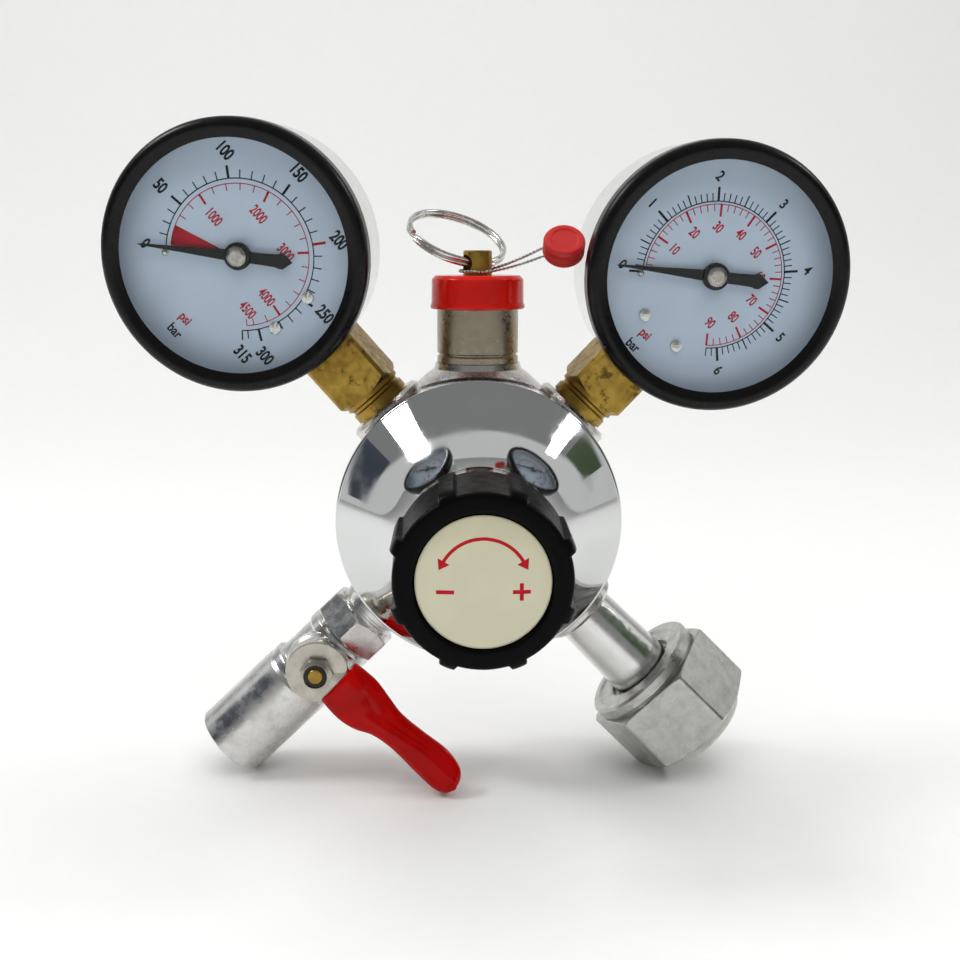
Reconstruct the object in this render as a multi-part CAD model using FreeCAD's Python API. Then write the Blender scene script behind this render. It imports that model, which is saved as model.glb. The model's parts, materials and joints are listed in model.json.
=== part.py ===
"""Carbon dioxide regulator with two gauges, a relief valve, an inlet nut and an outlet ball valve.

Millimetres. The design frame has its origin where the port axes meet: X to the right, Y to the back,
Z up, with the adjusting knob pointing along -Y. The parts are written in the row frame, which is the
same frame moved so that its origin lies on the ground under the middle of the whole object.
"""

import FreeCAD, Part

import math
import os

from FreeCAD import Vector

# Driving dimensions ---------------------------------------------------------------------------

# Direction of each port, in degrees from +X towards +Z
HIGH_GAUGE_ANGLE = 131.42
LOW_GAUGE_ANGLE = 46.33
INLET_ANGLE = -45.2
OUTLET_ANGLE = 223.8
RELIEF_ANGLE = 90.0

# Regulator body; depths are measured forwards from the plane of the ports
BODY_R = 32.3
BODY_BACK = -9.5
BODY_SHOULDER = 6.7
BODY_THREAD_R = 28.9
BODY_FACE = 12.5
CHAMBER_R = 20.0
CHAMBER_FLOOR = 10.0
NOZZLE_SEAT = 2.8
NOZZLE_R = 6.0
REAR_BOSS_R = 19.0
REAR_BOSS_BACK = -13.0
POPPET_BORE_R = 6.5
PORT_THREAD_R = 6.55
PORT_DEPTH = 22.0
PORT_TOP = 33.6
INLET_PORT_TOP = 36.4
GAS_HOLE_R = 2.2

# Bonnet
BONNET_R = 32.7
BONNET_BACK = 7.0
BONNET_SHOULDER = 15.0
BONNET_RIM = 16.8
BONNET_END_R = 16.6
BELL_END = 37.3                     # the bell runs out into a straight neck here
BONNET_END = 42.8
BELL_CONTROLS = [(25.3, 24.1), (20.3, 28.3)]    # the points that the bell's curve bends towards
NECK_R = 13.6
NECK_END = 46.6
SCREW_R = 5.0
RUNNING_GAP = 0.05

# Knob
KNOB_BACK = 48.0
KNOB_FRONT = 68.2
KNOB_R = 17.9
KNOB_FRONT_R = 17.3
KNOB_RIB_R = 18.7
KNOB_RIBS = 8
LABEL_R = 12.96

# Gauges
GAUGE_R = 30.5
CASE_R = 29.4
CASE_BACK = -13.0
BEZEL_BACK = 7.3
BEZEL_FRONT = 12.5
WINDOW_R = 26.05
DIAL_BACK = 5.2
DIAL_FRONT = 5.8
POINTER_BACK = 7.2
STEM_SQUARE = 14.0
SQUARE_START = 38.4
PINION_R = 1.2
SECTOR_RATIO = 10.8
GEAR_GAP = 0.1

# distance of each gauge's centre, its turn about its own stem and its pointer's angle at zero
HIGH_GAUGE = dict(name="high", angle=HIGH_GAUGE_ANGLE, reach=80.95, turn=-8.23, zero=132.0)
LOW_GAUGE = dict(name="low", angle=LOW_GAUGE_ANGLE, reach=77.53, turn=7.40, zero=216.8)

# Inlet
NUT_FLATS = 30.8
NUT_START = 59.4
NUT_END = 76.2
NUT_COLLAR_R = 13.5
NUT_COLLAR_START = 56.0
NUT_THREAD_R = 10.2
NUT_THREAD_START = 66.6
NUT_THREAD_END = 72.6
NUT_TURN = -23.8
GUARD_R = 11.4
GUARD_END = 80.4
NIPPLE_HOLE_R = 8.3

# Relief valve, heights above the port plane's centre
RELIEF_R = 9.5
RELIEF_BASE = 35.4
RELIEF_TOP = 50.0
CAP_R = 10.8
CAP_BOTTOM = 47.9
CAP_TOP = 55.6
STEM_R = 3.35
STEM_TOP = 61.3
CROSS_HOLE_Z = 58.3
CROSS_HOLE_R = 2.0

# Split ring and seal
RING_R = 11.7
RING_WIRE_R = 0.6
RING_REACH = Vector(-0.414, 0.759, 0.503)    # from the cross hole to the ring's centre
SEAL_CENTRE = Vector(19.6, -5.6, 62.2)
SEAL_R = 4.8
SEAL_THICK = 5.0
WIRE_R = 0.4

# Outlet ball valve, distances along its own axis
CONNECTOR_FLATS = 17.2
CONNECTOR_START = 37.6
CONNECTOR_END = 45.0
VALVE_START = 45.2
VALVE_END = 85.0
VALVE_R = 9.4
VALVE_WAIST_R = 8.2
OUTLET_THREAD_R = 5.72
OUTLET_THREAD_START = 74.2
SPINDLE_AT = 53.0
SPINDLE_R = 2.0
SPINDLE_END = 16.6
BALL_R = 5.6
GLAND_FRONT = 10.7
LEVER_BACK = 11.0
LEVER_THICK = 2.0
LEVER_ANGLE = -43.3                 # direction of the lever, from +X towards +Z
LEVER_BEND = 9.6                    # the grip leans forwards by this angle
GRIP_THICK = 5.2

FORWARD = Vector(0, -1, 0)
UP = Vector(0, 0, 1)
RIGHT = Vector(1, 0, 0)

parts = {}


# Helpers --------------------------------------------------------------------------------------

def placed(shape, origin, z_axis, x_axis):
    """Move a shape from its own frame to one at origin with the given z and x directions."""
    z = Vector(z_axis).normalize()
    y = z.cross(x_axis).normalize()
    x = y.cross(z)
    matrix = FreeCAD.Matrix(x.x, y.x, z.x, origin.x,
                            x.y, y.y, z.y, origin.y,
                            x.z, y.z, z.z, origin.z,
                            0, 0, 0, 1)
    moved = shape.copy()
    moved.Placement = FreeCAD.Placement(matrix).multiply(moved.Placement)
    return moved


def facing_front(shape):
    """From the turning frame to the design frame, with the shape's z pointing forwards."""
    return placed(shape, Vector(), FORWARD, RIGHT)


def port_direction(angle):
    turn = math.radians(angle)
    return Vector(math.cos(turn), 0, math.sin(turn))


def at_port(shape, angle):
    """Place a shape on a port's axis: z outwards along the port, x forwards."""
    return placed(shape, Vector(), port_direction(angle), FORWARD)


def turned(outline):
    """A solid of revolution about z from a closed outline of (radius, height) points."""
    points = [Vector(radius, 0, height) for radius, height in outline]
    wire = Part.makePolygon(points + [points[0]])
    return Part.Face(wire).revolve(Vector(), UP, 360)


def rod(radius, bottom, top):
    return Part.makeCylinder(radius, top - bottom, Vector(0, 0, bottom))


def tube(outer, inner, bottom, top):
    return rod(outer, bottom, top).cut(rod(inner, bottom - 1, top + 1))


def box(x_range, y_range, z_range):
    corner = Vector(x_range[0], y_range[0], z_range[0])
    size = [r[1] - r[0] for r in (x_range, y_range, z_range)]
    return Part.makeBox(size[0], size[1], size[2], corner)


def hexagon(flats, bottom, top, turn, chamfer, first_chamfer=None):
    """A hexagonal prism with its ends chamfered, one corner turned by an angle from x.

    The first chamfer is the one at the bottom, where it differs from the one at the top.
    """
    corner_r = flats / math.sqrt(3)
    points = []
    for side in range(7):
        angle = math.radians(turn + 60 * side)
        points.append(Vector(corner_r * math.cos(angle), corner_r * math.sin(angle), bottom))
    prism = Part.Face(Part.makePolygon(points)).extrude(Vector(0, 0, top - bottom))
    slope = math.tan(math.radians(30))
    edge_r = corner_r + 0.1
    first = chamfer if first_chamfer is None else first_chamfer
    cone = turned([(0, bottom), (edge_r - first / slope, bottom), (edge_r, bottom + first),
                   (edge_r, top - chamfer), (edge_r - chamfer / slope, top), (0, top)])
    return prism.common(cone)


def round_edges(shape, radius, wanted):
    """Fillet the edges that the test picks out."""
    return shape.makeFillet(radius, [edge for edge in shape.Edges if wanted(edge)])


def along_z(edge, shortest):
    """True for a straight edge parallel to z and longer than this."""
    first = edge.Vertexes[0].Point
    last = edge.Vertexes[-1].Point
    return edge.Length > shortest and abs(first.x - last.x) + abs(first.y - last.y) < 1e-3


def joined(shapes):
    whole = shapes[0]
    for shape in shapes[1:]:
        whole = whole.fuse(shape)
    return whole.removeSplitter()


def coil(radius, wire_r, bottom, top, turns):
    """A helical compression spring about z."""
    helix = Part.makeHelix((top - bottom - 2 * wire_r) / turns, top - bottom - 2 * wire_r, radius)
    section = Part.Wire(Part.Circle(Vector(radius, 0, 0), Vector(0, 1, 0), wire_r).toShape())
    spring = Part.Wire(helix).makePipeShell([section], True, True)
    spring.translate(Vector(0, 0, bottom + wire_r))
    return spring


def add(name, shape):
    parts[name] = shape


# Regulator body and what closes it ------------------------------------------------------------

def regulator_body():
    """Round forging: ports round its edge, diaphragm seat in front, poppet chamber behind."""
    disc = turned([(0, REAR_BOSS_BACK), (REAR_BOSS_R - 1, REAR_BOSS_BACK),
                   (REAR_BOSS_R, REAR_BOSS_BACK + 1), (REAR_BOSS_R, BODY_BACK),
                   (BODY_R - 2.5, BODY_BACK), (BODY_R, BODY_BACK + 2.5), (BODY_R, BODY_SHOULDER),
                   (BODY_THREAD_R, BODY_SHOULDER), (BODY_THREAD_R, BODY_FACE), (0, BODY_FACE)])
    body = facing_front(disc)

    port_tops = {HIGH_GAUGE_ANGLE: PORT_TOP, LOW_GAUGE_ANGLE: PORT_TOP,
                 OUTLET_ANGLE: PORT_TOP, INLET_ANGLE: INLET_PORT_TOP}
    bosses = []
    for angle, top in port_tops.items():
        boss = turned([(0, 20), (9.6, 20), (9.6, top - 0.8), (8.8, top), (0, top)])
        bosses.append(at_port(boss, angle))
    relief_boss = turned([(0, 20), (15.5, 20), (15.5, 29.5), (12.2, 32.6), (10.3, 34.0),
                          (9.9, RELIEF_BASE), (0, RELIEF_BASE)])
    bosses.append(at_port(relief_boss, RELIEF_ANGLE))
    behind = box((-60, 60), (-BODY_FACE, -BODY_BACK), (-60, 60))
    body = body.fuse([boss.common(behind) for boss in bosses])
    bonnet_room = tube(BONNET_R + 0.35, BODY_THREAD_R, BODY_SHOULDER, BODY_FACE + 10)
    body = body.cut(facing_front(bonnet_room))

    holes = [facing_front(rod(CHAMBER_R, CHAMBER_FLOOR, BODY_FACE + 1)),
             facing_front(rod(POPPET_BORE_R, REAR_BOSS_BACK - 1, NOZZLE_SEAT)),
             facing_front(rod(NOZZLE_R, NOZZLE_SEAT, BODY_FACE + 1))]
    for angle, top in port_tops.items():
        holes.append(at_port(rod(PORT_THREAD_R, PORT_DEPTH, top + 1), angle))
    holes.append(at_port(rod(PORT_THREAD_R, PORT_DEPTH, RELIEF_BASE + 1), RELIEF_ANGLE))
    for angle in (INLET_ANGLE, HIGH_GAUGE_ANGLE):
        holes.append(at_port(rod(GAS_HOLE_R, 0, PORT_DEPTH + 1), angle))
    for angle in (LOW_GAUGE_ANGLE, OUTLET_ANGLE, RELIEF_ANGLE):
        holes.append(at_port(rod(GAS_HOLE_R, 14, PORT_DEPTH + 1), angle))
        drilling = rod(2.0, -1.0, CHAMBER_FLOOR + 1)
        drilling.translate(Vector(16 * math.cos(math.radians(angle)),
                                  16 * math.sin(math.radians(angle)), 0))
        holes.append(facing_front(drilling))
    body = body.cut(holes)
    add("regulator_body", body.removeSplitter())


def diaphragm_stack():
    """Diaphragm, slip ring and pressure plate, from the body's face forwards."""
    ring_back = BODY_FACE + 1.5
    plate_back = ring_back + RUNNING_GAP
    plate_top = plate_back + 2.0
    add("diaphragm", facing_front(rod(26.5, BODY_FACE, ring_back)))
    add("slip_ring", facing_front(tube(28.5, CHAMBER_R, ring_back, BONNET_SHOULDER)))
    plate = turned([(0, plate_back), (13.0, plate_back), (13.0, plate_top), (7.4, plate_top),
                    (7.4, plate_top + 2.0), (0, plate_top + 2.0)])
    add("diaphragm_plate", facing_front(plate))


def bonnet():
    """Bell-shaped bonnet that screws over the body and carries the adjusting screw."""
    def point(radius, height):
        return Vector(radius, 0, height)

    rim_edge = 0.6
    flare = Part.BezierCurve()
    bell = [(BONNET_R - rim_edge, BONNET_RIM)] + BELL_CONTROLS + [(BONNET_END_R, BELL_END)]
    flare.setPoles([point(r, h) for r, h in bell])
    lead = 1.2
    outline = [(BONNET_END_R, BELL_END), (BONNET_END_R, BONNET_END),
               (BONNET_END_R - lead, BONNET_END + lead),
               (NECK_R, BONNET_END + lead), (NECK_R, NECK_END - 0.6), (NECK_R - 0.6, NECK_END),
               (SCREW_R, NECK_END), (SCREW_R, 39.5), (12.8, 39.5), (12.8, 29.0), (21.5, 18.5),
               (21.5, BONNET_SHOULDER), (BODY_THREAD_R + 0.02, BONNET_SHOULDER),
               (BODY_THREAD_R + 0.02, BONNET_BACK), (BONNET_R - 0.5, BONNET_BACK),
               (BONNET_R, BONNET_BACK + 0.5), (BONNET_R, BONNET_RIM - rim_edge)]
    path = Part.makePolygon([point(r, h) for r, h in outline])
    half = rim_edge * math.sqrt(0.5)
    corner = Part.Arc(point(BONNET_R, BONNET_RIM - rim_edge),
                      point(BONNET_R - rim_edge + half, BONNET_RIM - rim_edge + half),
                      point(BONNET_R - rim_edge, BONNET_RIM))
    wire = Part.Wire(path.Edges + [corner.toShape(), flare.toShape()])
    add("bonnet", facing_front(Part.Face(wire).revolve(Vector(), UP, 360)))


def adjuster():
    """Knob with its label, the screw it turns, the button the screw pushes, and the spring."""
    hub_back = 56.0
    cavity_r = NECK_R + 1.2
    hub_r = 8.0
    label_floor = KNOB_FRONT - 1.0
    knob = turned([(cavity_r, KNOB_BACK), (KNOB_R - 0.6, KNOB_BACK), (KNOB_R, KNOB_BACK + 0.6),
                   (KNOB_FRONT_R, KNOB_FRONT - 0.8), (KNOB_FRONT_R - 0.8, KNOB_FRONT),
                   (LABEL_R + 0.9, KNOB_FRONT), (LABEL_R + 0.15, KNOB_FRONT - 0.5),
                   (LABEL_R + 0.15, label_floor), (0, label_floor), (0, label_floor - 3.0),
                   (SCREW_R - 0.05, label_floor - 3.0), (SCREW_R - 0.05, hub_back), (hub_r, hub_back),
                   (hub_r, label_floor - 3.0), (cavity_r, label_floor - 3.0)])
    ribs = []
    for number in range(KNOB_RIBS):
        rib = box((KNOB_FRONT_R - 1.5, KNOB_RIB_R), (-1.9, 1.9), (KNOB_BACK + 0.6, KNOB_FRONT - 0.5))
        rib = rib.common(turned([(0, KNOB_BACK), (KNOB_RIB_R + 0.4, KNOB_BACK),
                                 (KNOB_RIB_R, KNOB_FRONT - 1.4), (KNOB_RIB_R - 0.9, KNOB_FRONT - 0.5),
                                 (0, KNOB_FRONT - 0.5)]))
        rib.rotate(Vector(), UP, 22.5 + number * 360 / KNOB_RIBS)
        ribs.append(rib)
    add("adjusting_knob", facing_front(knob.fuse(ribs).removeSplitter()))

    dome_rise = 1.1
    sphere_r = (LABEL_R ** 2 + dome_rise ** 2) / (2 * dome_rise)
    base = rod(LABEL_R, label_floor, KNOB_FRONT + 2)
    ball = Part.makeSphere(sphere_r, Vector(0, 0, label_floor + 0.5 + dome_rise - sphere_r))
    add("knob_label", facing_front(base.common(ball)))

    button_front = 34.6
    tip = button_front + 0.4
    screw = turned([(0, tip), (1.5, tip), (SCREW_R - RUNNING_GAP, tip + 3.4),
                    (SCREW_R - RUNNING_GAP, label_floor - 3.0), (0, label_floor - 3.0)])
    add("adjusting_screw", facing_front(screw))

    button_back = button_front - 2.6
    button = turned([(0, button_back - 1.8), (6.2, button_back - 1.8), (6.2, button_back),
                     (11.6, button_back), (11.6, button_front), (0, button_front)])
    add("spring_button", facing_front(button))
    spring_back = BODY_FACE + 1.5 + RUNNING_GAP + 2.1
    add("range_spring", facing_front(coil(9.4, 1.2, spring_back, button_back - 0.1, 4.0)))


def poppet_parts():
    """Seat nozzle, poppet with its push pin, poppet spring and the plug that closes the chamber."""
    nozzle = turned([(1.7, NOZZLE_SEAT), (2.6, NOZZLE_SEAT), (3.2, 3.6), (NOZZLE_R, 3.6),
                     (NOZZLE_R, 9.6), (1.7, 9.6)])
    add("seat_nozzle", facing_front(nozzle))
    pin_end = BODY_FACE - RUNNING_GAP
    poppet = turned([(0, -7.6), (1.9, -7.6), (1.9, -3.2), (4.6, -3.2), (4.6, 1.6), (3.6, 2.75),
                     (1.2, 2.75), (1.2, pin_end), (0, pin_end)])
    add("valve_poppet", facing_front(poppet))
    add("poppet_spring", facing_front(coil(3.4, 0.45, -8.4, -3.3, 3.0)))
    plug = joined([turned([(0, -13.2), (POPPET_BORE_R - 0.02, -13.2), (POPPET_BORE_R - 0.02, -8.5),
                           (2.0, -8.5), (2.0, -12.0), (0, -12.0)]),
                   rod(9.5, -14.4, REAR_BOSS_BACK), hexagon(16.0, -18.4, -14.4, 30, 0.6)])
    add("rear_plug", facing_front(plug))


# Inlet ----------------------------------------------------------------------------------------

def inlet():
    """Nipple, sealing washer, nut and thread guard."""
    bore = 3.0
    head_start = 62.1
    head_end = 64.6
    nipple = turned([(bore, 24.4), (PORT_THREAD_R, 24.4), (PORT_THREAD_R, INLET_PORT_TOP),
                     (7.25, INLET_PORT_TOP), (8.0, 60.0), (8.0, head_start), (9.6, head_start),
                     (9.6, head_end - 0.4), (9.2, head_end), (bore, head_end)])
    add("inlet_nipple", at_port(nipple, INLET_ANGLE))
    add("inlet_filter", at_port(rod(bore, 50, 56), INLET_ANGLE))
    add("inlet_washer", at_port(tube(9.6, 4.0, head_end, 66.4), INLET_ANGLE))

    hexagonal = hexagon(NUT_FLATS, NUT_START, NUT_END, NUT_TURN, 1.5, 0.5)
    collar = turned([(0, NUT_COLLAR_START), (NUT_COLLAR_R - 1.4, NUT_COLLAR_START),
                     (NUT_COLLAR_R, NUT_COLLAR_START + 0.8), (NUT_COLLAR_R, NUT_START - 0.9),
                     (NUT_COLLAR_R - 0.7, NUT_START - 0.5), (NUT_COLLAR_R - 0.7, NUT_START + 1.0),
                     (0, NUT_START + 1.0)])
    hollow = turned([(0, 50), (NIPPLE_HOLE_R + 1.2, 50), (NIPPLE_HOLE_R + 1.2, NUT_COLLAR_START),
                     (NIPPLE_HOLE_R, NUT_COLLAR_START + 1.2), (NIPPLE_HOLE_R, 62.0), (9.9, 62.0),
                     (9.9, NUT_THREAD_START), (NUT_THREAD_R, NUT_THREAD_START),
                     (NUT_THREAD_R, NUT_THREAD_END), (GUARD_R + RUNNING_GAP, NUT_THREAD_END),
                     (GUARD_R + RUNNING_GAP, 90), (0, 90)])
    nut = joined([hexagonal, collar]).cut(hollow)
    add("inlet_nut", at_port(nut, INLET_ANGLE))

    inner = NUT_THREAD_R + 0.2
    guard_start = NUT_THREAD_END + 0.1
    guard = turned([(inner, guard_start), (GUARD_R, guard_start), (GUARD_R, NUT_END + 0.2),
                    (GUARD_R - 0.1, GUARD_END - 0.8), (GUARD_R - 0.7, GUARD_END), (inner, GUARD_END)])
    add("thread_guard", at_port(guard, INLET_ANGLE))


# Relief valve ---------------------------------------------------------------------------------

def relief_valve():
    """Relief valve body, cap, stem, seat and spring, about the vertical axis."""
    groove = 36.9
    bore_r = 4.9
    body = turned([(bore_r, 24.2), (PORT_THREAD_R, 24.2), (PORT_THREAD_R, RELIEF_BASE),
                   (RELIEF_R, RELIEF_BASE), (RELIEF_R, groove),
                   (RELIEF_R - 0.35, groove + 0.2), (RELIEF_R - 0.35, groove + 0.6),
                   (RELIEF_R, groove + 0.8), (RELIEF_R, RELIEF_TOP), (bore_r, RELIEF_TOP),
                   (bore_r, 28.4), (2.6, 28.4), (2.6, 26.4), (bore_r, 25.4)])
    add("relief_body", body)
    hole_r = STEM_R + 0.1
    cap = turned([(RELIEF_R, CAP_BOTTOM), (CAP_R + 0.1, CAP_BOTTOM), (CAP_R + 0.3, CAP_BOTTOM + 0.6),
                  (CAP_R, CAP_BOTTOM + 1.4), (CAP_R - 0.1, CAP_TOP - 0.9), (CAP_R - 0.9, CAP_TOP),
                  (hole_r, CAP_TOP), (hole_r, RELIEF_TOP), (RELIEF_R, RELIEF_TOP)])
    add("relief_cap", cap)
    stem = turned([(0, 30.0), (4.3, 30.0), (4.3, 31.4), (2.3, 31.4), (2.3, RELIEF_TOP - 4.5),
                   (STEM_R, RELIEF_TOP - 4.2), (STEM_R, STEM_TOP - 0.3), (STEM_R - 0.3, STEM_TOP),
                   (0, STEM_TOP)])
    side = Vector(0.863, 0.505, 0)
    hole = placed(rod(CROSS_HOLE_R, -6, 6), Vector(0, 0, CROSS_HOLE_Z), side, UP)
    add("relief_stem", stem.cut(hole))
    add("relief_seat", rod(4.3, 28.42, 30.0))
    add("relief_spring", coil(3.4, 0.5, 31.45, 45.0, 6.0))


def split_ring():
    """Two-coil split ring through the cross hole."""
    reach = Vector(RING_REACH).normalize()
    lean = Vector(0.367, -0.55, 0.75)
    normal = lean - reach * lean.dot(reach)
    normal.normalize()
    centre = Vector(0, 0, CROSS_HOLE_Z) + reach * RING_R
    coils = []
    for offset in (-0.92 * RING_WIRE_R, 0.92 * RING_WIRE_R):
        ring = Part.makeTorus(RING_R, RING_WIRE_R, Vector(0, 0, offset))
        coils.append(placed(ring, centre, normal, reach))
    add("split_ring", joined(coils))


def tamper_seal():
    """Twisted wire loop round the stem, and the seal crimped on its ends."""
    loop_r = STEM_R + 0.35 + WIRE_R
    loop_z = CAP_TOP + 0.25 + WIRE_R
    loop = Part.makeTorus(loop_r, WIRE_R, Vector(0, 0, loop_z))
    towards = Vector(SEAL_CENTRE.x, SEAL_CENTRE.y, 0).normalize()
    across = UP.cross(towards)
    strands = [loop]
    for side in (-1, 1):
        start = Vector(0, 0, loop_z) + towards * (loop_r * 0.8) + across * (side * loop_r * 0.6)
        end = SEAL_CENTRE - towards * (SEAL_R * 0.6) + across * (side * 0.6)
        bulge = (start + end) * 0.5 + across * (side * 0.9) - UP * 1.0
        arc = Part.Arc(start, bulge, end)
        section = Part.Wire(Part.Circle(start, arc.tangent(arc.FirstParameter)[0], WIRE_R).toShape())
        strand = Part.Wire(arc.toShape()).makePipeShell([section], True, True)
        strands.append(strand)
        strands.append(Part.makeSphere(WIRE_R, start))
    disc = rod(SEAL_R, -SEAL_THICK / 2, SEAL_THICK / 2)
    disc = round_edges(disc, 0.9, lambda edge: isinstance(edge.Curve, Part.Circle))
    face = (FORWARD * 0.75 + UP * 0.66).normalize()
    disc = placed(disc, SEAL_CENTRE, face, RIGHT)
    add("tamper_seal", disc)
    add("seal_wire", joined(strands).cut(disc).Solids[0])


# Outlet ball valve ----------------------------------------------------------------------------

def outlet_valve():
    """End connector, valve body, ball, seats, spindle and packing."""
    bore = 3.5
    threaded = rod(PORT_THREAD_R, 24.4, PORT_TOP)
    shoulder = rod(7.6, PORT_TOP, CONNECTOR_START)
    flats = hexagon(CONNECTOR_FLATS, CONNECTOR_START, CONNECTOR_END, 8.5, 0.9)
    spigot = rod(6.5, CONNECTOR_END, 47.0)
    connector = joined([threaded, shoulder, flats, spigot]).cut(rod(bore, 20, 50))
    add("valve_connector", at_port(connector, OUTLET_ANGLE))

    band = 58.6
    shell = turned([(0, VALVE_START), (8.2, VALVE_START), (8.8, VALVE_START + 0.8), (8.8, 48.0),
                    (VALVE_WAIST_R, 48.8), (VALVE_WAIST_R, band - 0.4), (9.2, band), (9.3, band + 0.8),
                    (9.2, band + 1.8), (VALVE_R - 0.3, band + 2.2), (VALVE_R, band + 3.2),
                    (VALVE_R, VALVE_END - 0.3), (VALVE_R - 0.3, VALVE_END), (0, VALVE_END)])
    gland = rod(7.0, 0, GLAND_FRONT)
    gland = placed(gland, Vector(0, 0, SPINDLE_AT), Vector(1, 0, 0), UP)
    hollow = turned([(0, 40), (6.52, 40), (6.52, 47.0), (6.2, 47.0), (6.2, 59.0), (bore, 59.0),
                     (bore, OUTLET_THREAD_START - 2.2), (OUTLET_THREAD_R, OUTLET_THREAD_START),
                     (OUTLET_THREAD_R, VALVE_END - 0.6), (OUTLET_THREAD_R + 0.6, VALVE_END),
                     (OUTLET_THREAD_R + 0.6, 90), (0, 90)])
    spindle_hole = rod(SPINDLE_R + RUNNING_GAP, 0, 20).fuse(rod(4.0, 7.6, 20))
    spindle_hole = placed(spindle_hole, Vector(0, 0, SPINDLE_AT), Vector(1, 0, 0), UP)
    body = shell.fuse(gland).removeSplitter().cut(hollow).cut(spindle_hole)
    add("valve_body", at_port(body, OUTLET_ANGLE))

    def on_spindle(shape):
        """From the spindle's own frame, z forwards and x outwards, to the port's frame."""
        return at_port(placed(shape, Vector(0, 0, SPINDLE_AT), Vector(1, 0, 0), UP), OUTLET_ANGLE)

    ball = Part.makeSphere(BALL_R)
    across = placed(rod(3.0, -10, 10), Vector(), Vector(0, 1, 0), UP)
    slot = box((-3.0, 3.0), (-1.0, 1.0), (BALL_R - 1.6, 10))
    add("valve_ball", on_spindle(ball.cut(across).cut(slot)))
    seats = []
    for side in (-1, 1):
        seat = tube(6.1, bore, 4.0, 5.9).cut(Part.makeSphere(BALL_R + RUNNING_GAP))
        seats.append(placed(seat, Vector(0, 0, SPINDLE_AT), Vector(0, 0, side), Vector(1, 0, 0)))
    add("ball_seats", at_port(Part.makeCompound(seats), OUTLET_ANGLE))

    tang = box((-1.9, 1.9), (-0.95, 0.95), (BALL_R - 1.5, BALL_R + 0.2))
    tang = tang.common(rod(SPINDLE_R, 0, 20))
    pin = turned([(0, BALL_R + 0.1), (SPINDLE_R, BALL_R + 0.1), (SPINDLE_R, SPINDLE_END - 0.3),
                  (SPINDLE_R - 0.3, SPINDLE_END), (0, SPINDLE_END)])
    add("valve_spindle", on_spindle(joined([tang, pin])))
    add("spindle_packing", on_spindle(tube(4.0, SPINDLE_R + RUNNING_GAP, 7.6, GLAND_FRONT)))
    valve_lever(on_spindle)


def valve_lever(on_spindle):
    """Pressed lever plate, its lock nut and the dipped grip."""
    port = port_direction(OUTLET_ANGLE)
    lever = port_direction(LEVER_ANGLE)
    across = port.cross(FORWARD)
    heading = math.degrees(math.atan2(lever.dot(FORWARD.cross(port)), lever.dot(port)))
    top = LEVER_BACK + LEVER_THICK
    bend_at = 6.0

    def leaning(shape):
        """Lean a shape drawn along x forwards about the bend line."""
        shape = shape.copy()
        shape.rotate(Vector(bend_at, 0, LEVER_BACK), Vector(0, 1, 0), -LEVER_BEND)
        return shape

    arm = leaning(box((bend_at - 0.3, 39.0), (-1.4, 3.4), (LEVER_BACK, top)))
    flat = box((0, bend_at), (-4.0, 5.4), (LEVER_BACK, top))
    plate = joined([rod(7.4, LEVER_BACK, top), flat, arm]).cut(rod(SPINDLE_R, 0, 20))
    plate.rotate(Vector(), UP, heading)
    add("valve_lever", on_spindle(plate))

    upper = [(5.4, 7.6), (12.5, 8.1), (17.2, 7.3), (21.8, 6.6), (28.0, 7.1), (35.0, 8.0), (39.6, 7.3),
             (43.15, 4.6)]
    lower = [(43.15, 1.2), (40.0, -0.8), (34.0, -1.1), (26.0, -1.0), (20.4, -1.9), (16.2, -4.0),
             (12.3, -4.9), (5.4, -4.5)]
    outline = Part.BSplineCurve()
    middle = LEVER_BACK + LEVER_THICK / 2
    bottom = middle - GRIP_THICK / 2
    points = [Vector(along, width, bottom) for along, width in upper + lower]
    outline.interpolate(points)
    end = Part.makeLine(points[-1], points[0])
    grip = Part.Face(Part.Wire([outline.toShape(), end])).extrude(Vector(0, 0, GRIP_THICK))
    grip = round_edges(grip, 1.7, lambda edge: edge.Length > 20)
    grip = leaning(grip)
    grip = grip.cut(rod(7.45, 0, LEVER_BACK + 4)).cut(joined([flat, arm]))
    grip = grip.cut(box((-10, 60), (-20, 20), (0, LEVER_BACK - 0.05)))
    grip.rotate(Vector(), UP, heading)
    add("lever_grip", on_spindle(grip))

    nut = joined([hexagon(7.0, top, top + 2.2, 10, 0.4), rod(3.3, top + 2.1, top + 3.2)])
    add("lever_nut", on_spindle(nut.cut(rod(SPINDLE_R, 0, 20))))


# Gauges ---------------------------------------------------------------------------------------

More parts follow.
